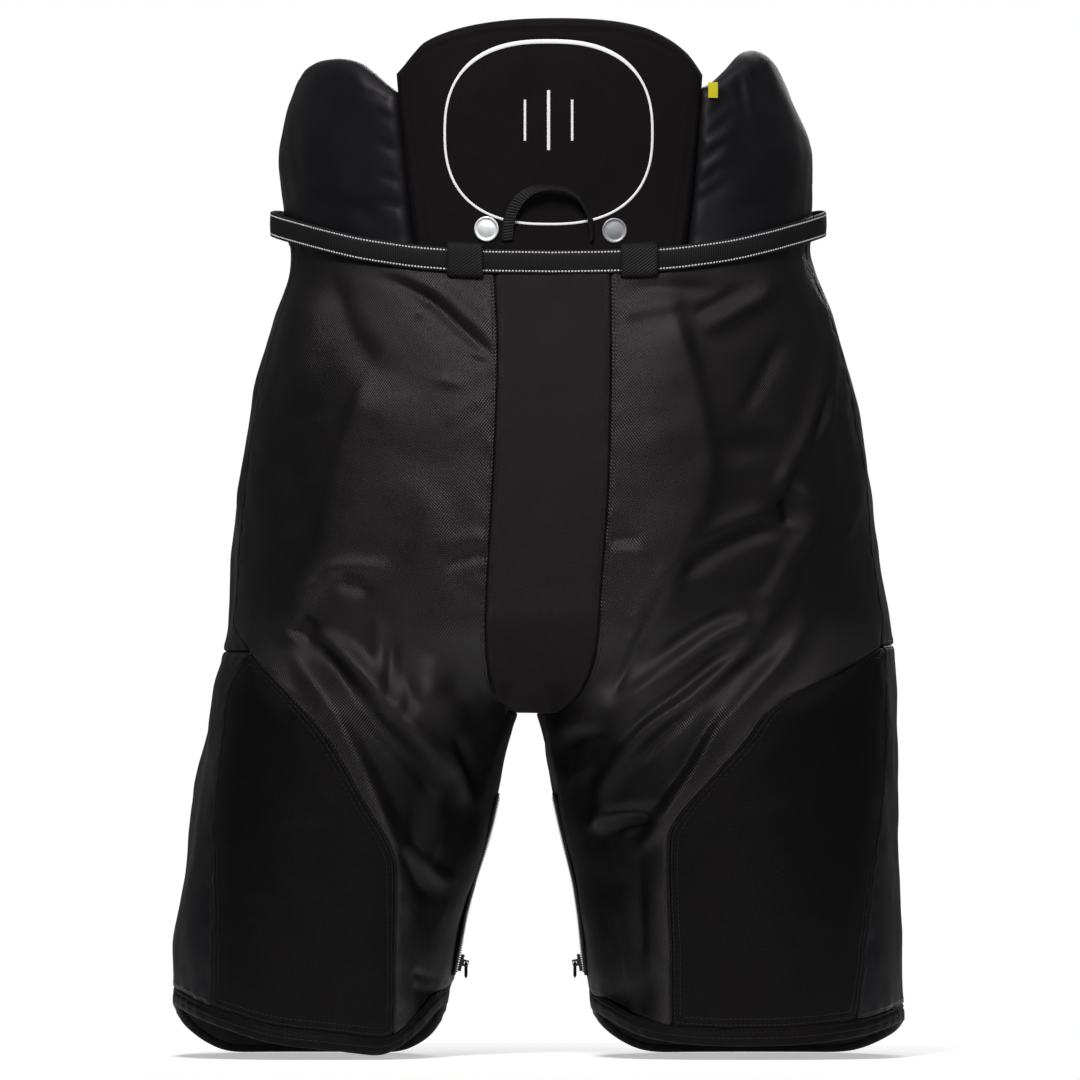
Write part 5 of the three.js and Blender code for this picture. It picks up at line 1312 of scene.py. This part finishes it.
def tailbone():
    def place(U, V):
        z = lerp(325, 478, V)
        x = MIDDLE(z) + lerp(-55, 55, U) * (1 - 0.25 * (1 - V))
        P = np.stack([x, wall_y(x, z), z], -1)
        N = np.zeros(P.shape)
        N[..., 1] = -1
        return P, N

    o = pad_grid("tailbone_foam", 105, 150, place, M["foam"], 5.0, 14.5, 4.0, 4.0)
    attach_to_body(o, "pants")
    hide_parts("tailbone_pad")


tailbone()


def liner_torso():
    n = 220
    fe = {s: ByHeight(lambda z, s=s: angle_at(s, MIDDLE(z) + SIGN[s] * (34 + 0.6), z, True)) for s in "LR"}
    zs = np.concatenate([[258, 258.6, 260], np.linspace(264, 488, 60), [490, 491.5, 492.6, 492.9]])
    P, N, C = [], [], []
    for z in zs:
        parts = []
        for side, ts in (("L", np.linspace(1, 0, n)), ("R", np.linspace(0, 1, n)[1:])):
            psi = SPREAD + ts * (fe[side](z) - SPREAD)
            d = 20.6 + (1.4 if z > 492.8 or z < 258.3 else 0)
            p, m = surface(side, psi, np.full(psi.shape, float(z)), d)
            q = 0.9 * np.abs(np.sin((psi * 120 + z) / 34)) * np.abs(np.sin((psi * 120 - z) / 34))
            p = p - m * q[:, None]
            parts.append((p, m))
        p = np.vstack([a for a, _ in parts])
        m = np.vstack([b for _, b in parts])
        P.append(p)
        N.append(m)
    P, N = np.array(P), np.array(N)
    arc = np.zeros(P.shape[:2])
    arc[:, 1:] = np.cumsum(np.linalg.norm(P[:, 1:] - P[:, :-1], axis=-1), axis=1)
    cloth = np.stack([arc, np.repeat(zs[:, None], P.shape[1], 1), 0 * arc], -1)
    edge = np.stack([0 * arc + 9, arc, 0 * arc], -1)
    f = quads(*P.shape[:2])
    if faces_out(P, N):
        f = f[:, ::-1]
    o = make("torso_lining", P.reshape(-1, 3), f, M["liner"], {"cloth": cloth.reshape(-1, 3), "edge": edge.reshape(-1, 3)})
    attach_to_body(o, "pants")
    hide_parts("torso_liner")


liner_torso()


def liner_leg(side):
    psi = np.linspace(0, 2 * PI, 220, endpoint=False)
    P, N, C = [], [], []
    rows = [(4.6, 5.0), (6.0, 7.0), (9.5, 14), (14, 24), (18, 36), (20.4, 48)] + [(20.9, 48 + k * 7) for k in range(1, 19)]
    for d, h in rows:
        z = np.maximum(hem(side, psi) + 4, h) if h < 48 else np.full(psi.shape, float(h))
        if h < 48:
            z = hem(side, psi) * (1 - (h - 5) / 43) + h
        dd = d + 0.6 * np.sin(psi * 24) * smooth((h - 20) / 30)
        p, m = surface(side, psi, z, 0)
        P.append(p - m * np.asarray(dd)[..., None])
        N.append(m)
        C.append(np.stack([psi * 110, z, 0 * z], -1))
    P, N, C = np.array(P), np.array(N), np.array(C)
    f = quads(*P.shape[:2], ring=True)
    if faces_out(P, N):
        f = f[:, ::-1]
    edge = np.stack([0 * C[..., 0] + 9, C[..., 0], 0 * C[..., 0]], -1)
    o = make(f"leg_lining_{NAME[side]}", P.reshape(-1, 3), f, M["liner"], {"cloth": C.reshape(-1, 3), "edge": edge.reshape(-1, 3)})
    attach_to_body(o, f"leg_{NAME[side]}")
    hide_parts(f"leg_liner_{NAME[side]}")


liner_leg("L")
liner_leg("R")


# ------------------------------------------------------------------ belt
def belt_at(u, d, dz):
    """A point of the belt: u 0 front middle on the left, 0.5 back, 1 front middle on the right."""
    u, d, dz = np.broadcast_arrays(np.asarray(u, float), np.asarray(d, float), np.asarray(dz, float))
    out, nor = np.zeros(u.shape + (3,)), np.zeros(u.shape + (3,))
    for side in "LR":
        mine = (u < 0.5) if side == "L" else (u >= 0.5)
        t = np.abs(2 * u - 1)
        psi = SPREAD + t * FULL
        z = BELT_T(t)
        p, n = surface(side, psi, np.maximum(z, 512))
        q = p + n * d[..., None]
        q[..., 2] = z + dz
        out = np.where(mine[..., None], q, out)
        nor = np.where(mine[..., None], n, nor)
    return out, nor


def bulge(u):
    return 3.2 + 5.5 * np.exp(-(((np.abs(u - 0.5) - 0.235) / 0.035) ** 2))


def belt():
    n = 520
    u = np.linspace(0.0095, 0.9905, n)
    ring = [(-8.0, 0.25), (-7.7, 1.5), (-7.0, 1.85), (-6.0, 1.55), (-5.0, 1.85), (-3.5, 2.0), (-1.5, 2.05), (0, 2.1), (1.5, 2.05), (3.5, 2.0), (5.0, 1.85), (6.0, 1.55), (7.0, 1.85), (7.7, 1.5), (8.0, 0.25), (7.0, 0.0), (0, 0.0), (-7.0, 0.0)]
    P = np.zeros((n, len(ring), 3))
    N = np.zeros((n, len(ring), 3))
    wave = 0.35 * np.sin(u * 60) + 0.25 * np.sin(u * 141 + 1)
    for k, (dz, d) in enumerate(ring):
        P[:, k], N[:, k] = belt_at(u, bulge(u) + d - 0.1 + wave * 0.4, dz + 0.25 * wave)
    arc = np.zeros((n, len(ring)))
    arc[1:] = np.cumsum(np.linalg.norm(P[1:, 7] - P[:-1, 7], axis=-1))[:, None]
    dz = np.repeat(np.array([r[0] for r in ring])[None], n, 0)
    f = quads(n, len(ring), ring=True)
    sub = P[:, 2:13]
    if not faces_out(sub, N[:, 2:13]):
        f = f[:, ::-1]
    caps = [list(range(len(ring))), list(range((n - 1) * len(ring), n * len(ring)))]
    cloth = np.stack([arc, dz, 0 * dz], -1).reshape(-1, 3)
    edge = np.stack([0 * dz + 9, arc, 0 * dz], -1).reshape(-1, 3)
    o = make("waist_belt", P.reshape(-1, 3), f, M["web"], {"cloth": cloth, "edge": edge})
    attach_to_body(o, "pants")
    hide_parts("belt")
    # reflective stitching: a bead of thread at each stitch, in two rows
    fine = np.linspace(0.0095, 0.9905, 6000)
    line, _ = belt_at(fine, bulge(fine) + 2, 0)
    run = np.concatenate([[0], np.cumsum(np.linalg.norm(line[1:] - line[:-1], axis=-1))])
    pitch, length = 2.1, 1.5
    count = int(run[-1] / pitch)
    verts, faces, cl = [], [], []
    for row in (-6.0, 6.0):
        for k in range(count):
            s0 = 1.0 + k * pitch
            s = np.array([s0, s0 + length * 0.2, s0 + length * 0.8, s0 + length])
            uu = np.interp(s, run, fine)
            w = 0.35 * np.sin(uu * 60) + 0.25 * np.sin(uu * 141 + 1)
            base = bulge(uu) - 0.1 + w * 0.4
            o0 = len(verts)
            rise = [0.0, 0.5, 0.5, 0.0]
            half = [0.3, 0.62, 0.62, 0.3]
            for side_dz, r in ((-1, 0.0), (-0.5, 1.0), (0.5, 1.0), (1, 0.0)):
                p, _ = belt_at(uu, base + 1.45 + np.array(rise) * r, row + np.array(half) * side_dz + 0.25 * w)
                verts.extend(p)
            for j in range(3):
                for i in range(3):
                    a = o0 + j * 4 + i
                    faces.append((a, a + 1, a + 5, a + 4))
    verts = np.array(verts)
    faces = np.array(faces)
    cl = np.zeros(verts.shape)
    o = make("belt_stitching", verts, faces, M["thread"], {"cloth": verts * 1.0, "edge": cl + 9})
    me = o.data
    me.update()
    nm = np.zeros(len(me.polygons) * 3)
    me.polygons.foreach_get("normal", nm)
    nm = nm.reshape(-1, 3)
    c = np.zeros(len(me.polygons) * 3)
    me.polygons.foreach_get("center", c)
    c = c.reshape(-1, 3)
    if np.sum(nm[:, 1] * c[:, 1]) < 0:
        me.flip_normals()
    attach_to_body(o, "pants")


belt()


def u_at_x(x):
    lo, hi = 0.25, 0.75
    for _ in range(40):
        m = (lo + hi) / 2
        if belt_at(m, 0, 0)[0][0] < x:
            lo = m
        else:
            hi = m
    return (lo + hi) / 2


def belt_loop(name, node, u0, u1, foot):
    """A webbing bracket stitched above and below the belt."""
    h = 8.0
    path = [(foot - 0.6, h + 5.5), (foot + 0.6, h + 4.6), (foot + 1.2, h + 3.2), (3.4, h + 2.4), (5.2, h + 2.0), (6.3, h + 1.0), (6.9, h - 1.0), (7.1, h - 4), (7.2, 0), (7.1, -h + 4), (6.9, -h + 1), (6.3, -h - 1.0), (5.0, -h - 2.0), (3.4, -h - 2.6), (foot + 1.0, -h - 3.4), (foot + 0.4, -h - 4.8), (foot - 0.6, -h - 5.4)]
    pts = np.array(path, float)
    # resample
    seg = np.concatenate([[0], np.cumsum(np.hypot(*(pts[1:] - pts[:-1]).T))])
    s = np.linspace(0, seg[-1], 60)
    d, dz = np.interp(s, seg, pts[:, 0]), np.interp(s, seg, pts[:, 1])
    tx, tz = np.gradient(d), np.gradient(dz)
    l = np.hypot(tx, tz)
    nd, nz = -tz / l, tx / l
    if np.mean(nd) < 0:
        nd, nz = -nd, -nz
    n = 22
    uu = np.linspace(u0, u1, n)
    t = 1.5
    shrink = smooth(np.minimum(np.arange(n), n - 1 - np.arange(n)) / 1.6)
    rows = []
    off = bulge(uu) - 3.2
    for layer in (0, 1):
        g = []
        for k in range(len(s)):
            weave = 0.16 * np.sin(2 * PI * (np.arange(n) * 0.9 + s[k]) / 2.1) if layer == 0 else 0
            thick = (t if layer == 0 else 0) - (0.7 * (1 - shrink) if layer == 0 else 0)
            p, _ = belt_at(uu, d[k] + nd[k] * (thick + weave - 0.5) + off, dz[k] + nz[k] * (thick - 0.5))
            g.append(p)
        rows.append(np.array(g))
    outer, inner = rows
    R, C = outer.shape[:2]
    ring = np.concatenate([outer, inner[:, ::-1]], axis=1)
    f = quads(R, 2 * C, ring=True)
    _, N = belt_at(uu[None].repeat(R, 0), 0, 0)
    if not faces_out(outer[20:40], N[20:40]):
        f = f[:, ::-1]
    sx = np.linspace(0, 16, C)
    sx = np.concatenate([sx, sx[::-1]])
    cloth = np.stack([np.repeat(sx[None], R, 0), np.repeat(s[:, None], 2 * C, 1), np.zeros((R, 2 * C))], -1)
    o = make(name, ring.reshape(-1, 3), f, M["web_loop"], {"cloth": cloth.reshape(-1, 3), "edge": np.full((R * 2 * C, 3), 9.0)})
    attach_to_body(o, "pants")
    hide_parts(node)


belt_loop("belt_keeper_rear_left", "belt_loop_rear_left", u_at_x(-62), u_at_x(-39.5), 1.2)
belt_loop("belt_keeper_rear_right", "belt_loop_rear_right", u_at_x(47), u_at_x(70), 1.2)
belt_loop("belt_keeper_front_left", "belt_loop_front_left", 0.128, 0.152, 1.0)
belt_loop("belt_keeper_front_right", "belt_loop_front_right", 0.848, 0.872, 1.0)


# ------------------------------------------------------------------ hanger loop
def hanger():
    x0, x1, z0 = -24.6, 29.4, 521.0
    pad_y = float(wall_y(3.0, 521.0)) - 1.8
    cx, half, rise = (x0 + x1) / 2, (x1 - x0) / 2, 33.0
    n = 110
    a = PI * (1 - np.linspace(0, 1, n))
    c, s = np.cos(a), np.sin(a)
    x = cx + np.sign(c) * np.abs(c) ** 0.85 * half
    z = z0 + np.abs(s) ** 0.85 * rise
    y = pad_y - 3.6 - (z - z0) * 0.27
    p = np.stack([x, y, z], -1)
    t = np.gradient(p, axis=0)
    t /= np.linalg.norm(t, axis=1)[:, None]
    f0 = np.array([0, -1.0, 0.0])
    side_dir = np.cross(t, f0)
    side_dir /= np.linalg.norm(side_dir, axis=1)[:, None]
    front = np.cross(side_dir, t)
    k = np.linspace(0, 1, n)
    turn = 62 * RAD * smooth((k - 0.22) / 0.3)
    wdir = side_dir * np.cos(turn)[:, None] + front * np.sin(turn)[:, None]
    tdir = np.cross(wdir, t)
    width = lerp(3.9, 2.7, smooth((k - 0.2) / 0.4))
    ring = []
    m = 16
    for j in range(m):
        q = 2 * PI * j / m
        cw, ct = np.cos(q), np.sin(q)
        cw = np.sign(cw) * abs(cw) ** 0.5
        ct = np.sign(ct) * abs(ct) ** 0.5
        rib = 1 + 0.12 * np.sin(k * n * 0.95)
        ring.append(p + wdir * (cw * width)[:, None] + tdir * (ct * 0.95 * rib)[:, None])
    P = np.stack(ring, 1)
    arc = np.concatenate([[0], np.cumsum(np.linalg.norm(p[1:] - p[:-1], axis=1))])
    cloth = np.stack([np.repeat(np.linspace(0, 8, m)[None], n, 0), np.repeat(arc[:, None], m, 1), np.zeros((n, m))], -1)
    f = quads(n, m, ring=True)
    o = make("hanger_webbing", P.reshape(-1, 3), f, M["web_loop"], {"cloth": cloth.reshape(-1, 3), "edge": np.full((n * m, 3), 9.0)})
    out = P[40] - p[40]
    cc = np.cross(P[40, 1] - P[40, 0], P[41, 0] - P[40, 0])
    if np.dot(cc, out[0]) < 0:
        o.data.flip_normals()
    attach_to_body(o, "hanger")
    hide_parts("hanger_loop")


hanger()


# ------------------------------------------------------------------ small round hardware
def lathe(name, profile, centre, axis, mat, n=56, smooth_shade=True):
    """A turned piece: (radius, height) rows about axis from centre (frame mm minus SHIFT)."""
    axis = np.array(axis, float)
    axis /= np.linalg.norm(axis)
    side = np.cross(axis, [0, 0, 1.0])
    side /= np.linalg.norm(side)
    up = np.cross(side, axis)
    a = np.linspace(0, 2 * PI, n, endpoint=False)
    P = []
    for r, h in profile:
        P.append(np.array(centre) + axis * h + r * (np.cos(a)[:, None] * side + np.sin(a)[:, None] * up))
    P = np.array(P)
    f = quads(len(profile), n, ring=True)
    o = make(name, P.reshape(-1, 3), f, mat)
    weld(o, 0.01)
    import bmesh

    bm = bmesh.new()
    bm.from_mesh(o.data)
    bmesh.ops.recalc_face_normals(bm, faces=bm.faces)
    bm.to_mesh(o.data)
    bm.free()
    return o


def button_profile():
    """A pressed cap with a rolled rim and a shallow dish, on a short post."""
    rows = [(0.001, 0.0), (3.0, 0.0), (3.0, 2.3), (3.6, 2.55), (6.6, 2.75), (7.6, 3.0)]
    for k in range(7):
        a = -PI / 2 + PI * k / 6
        rows.append((7.35 + 0.65 * math.cos(a), 3.75 + 0.65 * math.sin(a)))
    rows += [(6.7, 4.25), (6.2, 4.05), (5.4, 4.1), (4.0, 4.3), (2.4, 4.45), (1.0, 4.5), (0.001, 4.5)]
    return rows


def button(node, side, psi, z, off, mat):
    p, n = surface(side, psi, z)
    p = p + n * off
    o = lathe("cap_" + node, button_profile(), p, n, mat)
    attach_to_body(o, "pants")
    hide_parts(node)


button("suspender_button_rear_left", "L", float(angle_at("L", -37.4, 526.0)), 528.0, 1.8, M["metal"])
button("suspender_button_rear_right", "R", float(angle_at("R", 43.0, 526.0)), 527.0, 1.8, M["metal_darker"])
for key, side, x in (("front_outer_left", "L", -78.0), ("front_inner_left", "L", -48.0), ("front_inner_right", "R", 54.0), ("front_outer_right", "R", 84.0)):
    button("suspender_button_" + key, side, float(angle_at(side, x, 543.5, True)), 543.5, 0.8, M["metal"])


# ------------------------------------------------------------------ fly
def fly():
    def strip(name, x0, x1, z0, z1, out, inn, mat, node, width, height):
        def place(U, V):
            z = lerp(z0, z1, V)
            x = MIDDLE(z) + lerp(x0, x1, U)
            P = np.stack([x, wall_y(x, z, True), z], -1)
            N = np.zeros(P.shape)
            N[..., 1] = 1
            return P, N

        o = pad_grid(name, width, height, place, mat, out, inn, 1.2, 1.2)
        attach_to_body(o, "pants")
        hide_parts(node)

    strip("fly_tongue_cloth", -30.5, 30.5, 375, 529, 5.5, 8.0, M["centre"], "fly_tongue", 61, 154)
    for s, n in ((-1, "left"), (1, "right")):
        strip(f"fly_placket_cloth_{n}", min(s * 6, s * 33.2), max(s * 6, s * 33.2), 374.5, 506.5, -0.3, 2.8, M["web"], f"fly_placket_{n}", 27, 132)
        for i, z in enumerate((398.0, 430.0, 462.0, 494.0)):
            x = float(MIDDLE(z)) + s * 17
            y = float(wall_y(x, z, True))
            ring = [(2.2 + 1.5 + 1.5 * math.cos(a) * -1, 0.75 * math.sin(a)) for a in np.linspace(0, 2 * PI, 13)]
            o = lathe(f"eyelet_{n}_{i}", ring, (x, y + 0.35, z), (0, 1, 0), M["eyelet"], 30)
            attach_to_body(o, "pants")
            # painted shade: a black plastic disc on the placket inside each eyelet stands in for the dark hole
            o = lathe(f"eyelet_shade_disc_{n}_{i}", [(0.001, -0.9), (2.6, -0.9), (2.6, 0.42), (0.001, 0.42)], (x, y + 0.05, z), (0, 1, 0), M["plastic"], 24)
            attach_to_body(o, "pants")


fly()


def label():
    def place(U, V):
        x, z = lerp(103.2, 109.4, U), lerp(611.5, 621.5, V)
        P = np.stack([x, wall_y(x, z), z], -1)
        N = np.zeros(P.shape)
        N[..., 1] = -1
        return P, N

    o = pad_grid("size_label", 6.2, 10.0, place, M["label"], -1.9, -1.2, 0.3, 0.3)
    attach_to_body(o, "pants")
    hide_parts("size_tab")


label()


# ------------------------------------------------------------------ printed ornament on the spine pad
def pad_front_y(x, z):
    """y of the spine pad's outer face, through _hit, which is not defined in this script; nothing calls this."""
    return _hit(x, z)


def surface_reader(o):
    from mathutils.bvhtree import BVHTree

    me = o.data
    co = [v.co.copy() for v in me.vertices]
    tree = BVHTree.FromPolygons(co, [tuple(p.vertices) for p in me.polygons])

    def hit(x, z):
        origin = Vector(((x + SHIFT[0]) * 0.001, -1.0, z * 0.001))
        loc, nor, _, _ = tree.ray_cast(origin, Vector((0, 1, 0)))
        return loc.y * 1000 - SHIFT[1] if loc is not None else None

    return hit


def ornament():
    hit = surface_reader(spine)
    verts, faces = [], []

    def ribbon(points, widths, closed=False):
        p = np.array(points, float)
        n = len(p)
        if closed:
            t = np.roll(p, -1, 0) - np.roll(p, 1, 0)
        else:
            t = np.gradient(p, axis=0)
        t /= np.linalg.norm(t, axis=1)[:, None]
        nrm = np.stack([-t[:, 1], t[:, 0]], -1)
        w = np.broadcast_to(np.asarray(widths, float), (n,))
        o0 = len(verts)
        cols = (-1.0, -0.8, 0.0, 0.8, 1.0)
        lifts = (-0.15, 0.14, 0.16, 0.14, -0.15)
        for i in range(n):
            for c, l in zip(cols, lifts):
                q = p[i] + nrm[i] * c * w[i] / 2
                y = hit(q[0], q[1])
                y = y if y is not None else -115.0
                verts.append((q[0], y - l, q[1]))
        m = n if closed else n - 1
        for i in range(m):
            a, b = o0 + i * 5, o0 + ((i + 1) % n) * 5
            for c in range(4):
                faces.append((a + c, a + c + 1, b + c + 1, b + c))

    # a plain oval line
    cx, cz = 1.6, 589.0
    a = np.linspace(0, 2 * PI, 240, endpoint=False)
    ca, sa = np.cos(a), np.sin(a)
    x = cx + np.sign(ca) * np.abs(ca) ** 0.8 * 66
    z = cz + np.sign(sa) * np.abs(sa) ** 0.8 * 58
    ribbon(np.stack([x, z], -1), 1.7 + 1.3 * smooth((z - 618) / 26), True)
    # three upright bars
    for dx, lo, hi, w in ((-15.0, 584, 610, 1.7), (0.0, 578, 616, 2.2), (15.0, 584, 610, 1.7)):
        zs = np.linspace(lo, hi, 30)
        ribbon(np.stack([np.full(zs.shape, cx + dx), zs], -1), w)
    v = np.array(verts)
    o = make("pad_ornament", v, np.array(faces), M["print"], {"cloth": v[:, [0, 2, 1]], "edge": np.full(v.shape, 9.0)})
    me = o.data
    nm = np.zeros(len(me.polygons) * 3)
    me.polygons.foreach_get("normal", nm)
    if nm.reshape(-1, 3)[:, 1].sum() > 0:
        me.flip_normals()
    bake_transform(o)


ornament()


# ------------------------------------------------------------------ piping along seams
def tube(name, p, r, mat, side=None, body=None, sides=8):
    """A round cord of cloth along draft-millimetre points."""
    p = np.asarray(p, float)
    t = np.gradient(p, axis=0)
    t /= np.linalg.norm(t, axis=1)[:, None]
    ref = np.array([0.3, 0.2, 1.0])
    b = np.cross(t, ref)
    b /= np.linalg.norm(b, axis=1)[:, None]
    c = np.cross(b, t)
    a = np.linspace(0, 2 * PI, sides, endpoint=False)
    n = len(p)
    rr = np.full(n, r)
    rr[0] = rr[-1] = r * 0.3
    P = p[:, None] + rr[:, None, None] * (np.cos(a)[None, :, None] * b[:, None] + np.sin(a)[None, :, None] * c[:, None])
    arc = np.concatenate([[0], np.cumsum(np.linalg.norm(p[1:] - p[:-1], axis=1))])
    cloth = np.stack([np.repeat(np.linspace(0, 6, sides)[None], n, 0), np.repeat(arc[:, None], sides, 1), np.zeros((n, sides))], -1)
    o = make(name, P.reshape(-1, 3), quads(n, sides, ring=True), mat, {"cloth": cloth.reshape(-1, 3), "edge": np.full((n * sides, 3), 9.0)})
    k = n // 2
    if np.dot(np.cross(P[k, 1] - P[k, 0], P[k + 1, 0] - P[k, 0]), P[k, 0] - p[k]) < 0:
        o.data.flip_normals()
    if side is not None:
        attach(o, side)
    else:
        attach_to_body(o, body)
    return o


def seam_piping():
    for side in "LR":
        name = NAME[side]
        apex = {"L": 258.0, "R": 262.0}[side]
        # side seam from the waist to the thigh corner
        z = np.arange(apex + 16, 506, 3.0)
        psi = np.full(z.shape, SIDE_REAR)
        t = smooth((z - apex) / 22)
        seam = angle_at(side, THIGH_IN[side](z), z)
        psi = np.where(z < apex + 22, lerp(seam, SIDE_REAR, t), psi)
        P, N = surface(side, psi, z)
        lift = relief(P, N) - 0.9
        tube(f"side_seam_piping_{name}", P + N * lift[:, None], 1.15, M["nylon"], side=side)
        # thigh seam: down the inner edge of the rear thigh panel
        z = np.arange(14, apex - 2, 3.0)
        psi = angle_at(side, THIGH_IN[side](z), z)
        z = np.maximum(z, hem(side, psi) + 12)
        P, N = surface(side, psi, z)
        keep = np.concatenate([[True], np.linalg.norm(P[1:] - P[:-1], axis=1) > 0.5])
        P, N = P[keep], N[keep]
        lift = relief(P, N) - 0.6
        tube(f"thigh_seam_piping_{name}", P + N * lift[:, None], 1.1, M["knit"], side=side)


seam_piping()


# ------------------------------------------------------------------ zips: teeth on the tapes
def zips():
    for side in "LR":
        name = NAME[side]
        verts, faces = [], []
        for k, z in enumerate(np.arange(54, 166, 1.5)):
            p, n = surface(side, 0.0, z)
            s = 1 if k % 2 else -1
            c = p + n * 1.9
            up = np.array([0, 0, 1.0])
            across = np.cross(up, n)
            o0 = len(verts)
            for dz in (-0.42, 0.42):
                for w, d in ((-1.6, -0.5), (1.6, -0.5), (1.3, 0.65), (-1.3, 0.65)):
                    verts.append(c + up * dz + across * (w + s * 0.55) + n * d)
            for f in ((0, 1, 2, 3), (7, 6, 5, 4), (0, 4, 5, 1), (1, 5, 6, 2), (2, 6, 7, 3), (3, 7, 4, 0)):
                faces.append([o0 + i for i in f])
        o = make(f"zip_teeth_{name}", np.array(verts), [tuple(f) for f in faces], M["plastic"], smooth_shade=False)
        import bmesh

        bm = bmesh.new()
        bm.from_mesh(o.data)
        bmesh.ops.recalc_face_normals(bm, faces=bm.faces)
        bm.to_mesh(o.data)
        bm.free()
        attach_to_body(o, f"leg_{name}")


zips()


def zip_cords():
    for side in "LR":
        name = NAME[side]
        lo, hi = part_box(f"zip_pull_{name}")
        top = np.array([(lo[0] + hi[0]) / 2, (lo[1] + hi[1]) / 2, hi[2]]) * 1000 - SHIFT
        p = top + np.linspace(0.2, -10.5, 9)[:, None] * np.array([0, 0, 1.0])
        o = tube(f"zip_cord_{name}", p, 1.05, M["zip"], body=f"pull_{name}")
        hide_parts(f"zip_pull_{name}")


zip_cords()


# ------------------------------------------------------------------ carried-over CAD nodes
def dress(node, mat):
    o = nodes[node]
    o.data.materials.clear()
    o.data.materials.append(mat)
    for p in o.data.polygons:
        p.use_smooth = False


for node in nodes:
    if node.startswith("zip_tape"):
        dress(node, M["zip"])
    elif node.startswith(("zip_slider", "zip_pull")):
        dress(node, M["plastic"])
    elif node.startswith("buckle_pin"):
        dress(node, M["dark_metal"])
    elif node.startswith("buckle"):
        dress(node, M["plastic"])
    elif node.startswith("thigh_guard_plate"):
        dress(node, M["plate"])


# ------------------------------------------------------------------ floor, light, camera
def stage():
    n = 96
    verts = [(0, 0, -0.0004)] + [(0.44 * math.cos(2 * PI * k / n), 0.44 * math.sin(2 * PI * k / n), -0.0004) for k in range(n)]
    me = bpy.data.meshes.new("floor")
    me.from_pydata(verts, [], [(0, k + 1, (k + 1) % n + 1) for k in range(n)])
    b = Nodes("floor_paper")
    b.bsdf.inputs["Base Color"].default_value = (0.92, 0.92, 0.92, 1)
    b.bsdf.inputs["Roughness"].default_value = 0.9
    b.bsdf.inputs["Specular IOR Level"].default_value = 0.1
    b.bsdf.inputs["Emission Color"].default_value = (1, 1, 1, 1)
    b.bsdf.inputs["Emission Strength"].default_value = 0.42
    me.materials.append(b.m)
    o = bpy.data.objects.new("floor", me)
    bpy.context.scene.collection.objects.link(o)

    world = bpy.data.worlds.new("studio")
    bpy.context.scene.world = world
    world.use_nodes = True
    t = world.node_tree
    t.nodes.clear()
    out = t.nodes.new("ShaderNodeOutputWorld")
    seen, lit = t.nodes.new("ShaderNodeBackground"), t.nodes.new("ShaderNodeBackground")
    seen.inputs["Color"].default_value = (1, 1, 1, 1)
    seen.inputs["Strength"].default_value = 1.0
    lit.inputs["Color"].default_value = (1, 1, 1, 1)
    lit.inputs["Strength"].default_value = 0.16
    path, mixer = t.nodes.new("ShaderNodeLightPath"), t.nodes.new("ShaderNodeMixShader")
    t.links.new(path.outputs["Is Camera Ray"], mixer.inputs[0])
    t.links.new(lit.outputs[0], mixer.inputs[1])
    t.links.new(seen.outputs[0], mixer.inputs[2])
    t.links.new(mixer.outputs[0], out.inputs[0])

    def light(name, size, power_w, at, to):
        d = bpy.data.lights.new(name, "AREA")
        d.shape = "RECTANGLE"
        d.size, d.size_y = size
        d.energy = power_w
        lo = bpy.data.objects.new(name, d)
        lo.location = at
        lo.rotation_euler = (Vector(to) - Vector(at)).to_track_quat("-Z", "Y").to_euler()
        bpy.context.scene.collection.objects.link(lo)

    light("key", (0.55, 0.55), 41.0, (-0.26, -1.6, 1.8), (0, 0, 0.4))
    light("fill", (1.2, 1.2), 8.0, (1.1, -2.6, 1.0), (0, 0, 0.33))
    light("top", (1.2, 1.2), 8.0, (0.0, -0.2, 2.5), (0, 0, 0.4))
    light("back", (1.2, 1.2), 40.0, (0.5, 2.6, 1.5), (0, 0, 0.33))

    cam = bpy.data.cameras.new("camera")
    cam.sensor_width = 36
    distance = 16.0
    cam.lens = 36 * distance / 0.6912
    cam.clip_end = 50
    co = bpy.data.objects.new("camera", cam)
    co.location = (0.00071, -distance, 0.33024)
    co.rotation_euler = (PI / 2, 0, 0)
    bpy.context.scene.collection.objects.link(co)
    bpy.context.scene.camera = co
    bpy.context.scene.view_settings.view_transform = "Standard"
    bpy.context.scene.view_settings.look = "None"


stage()
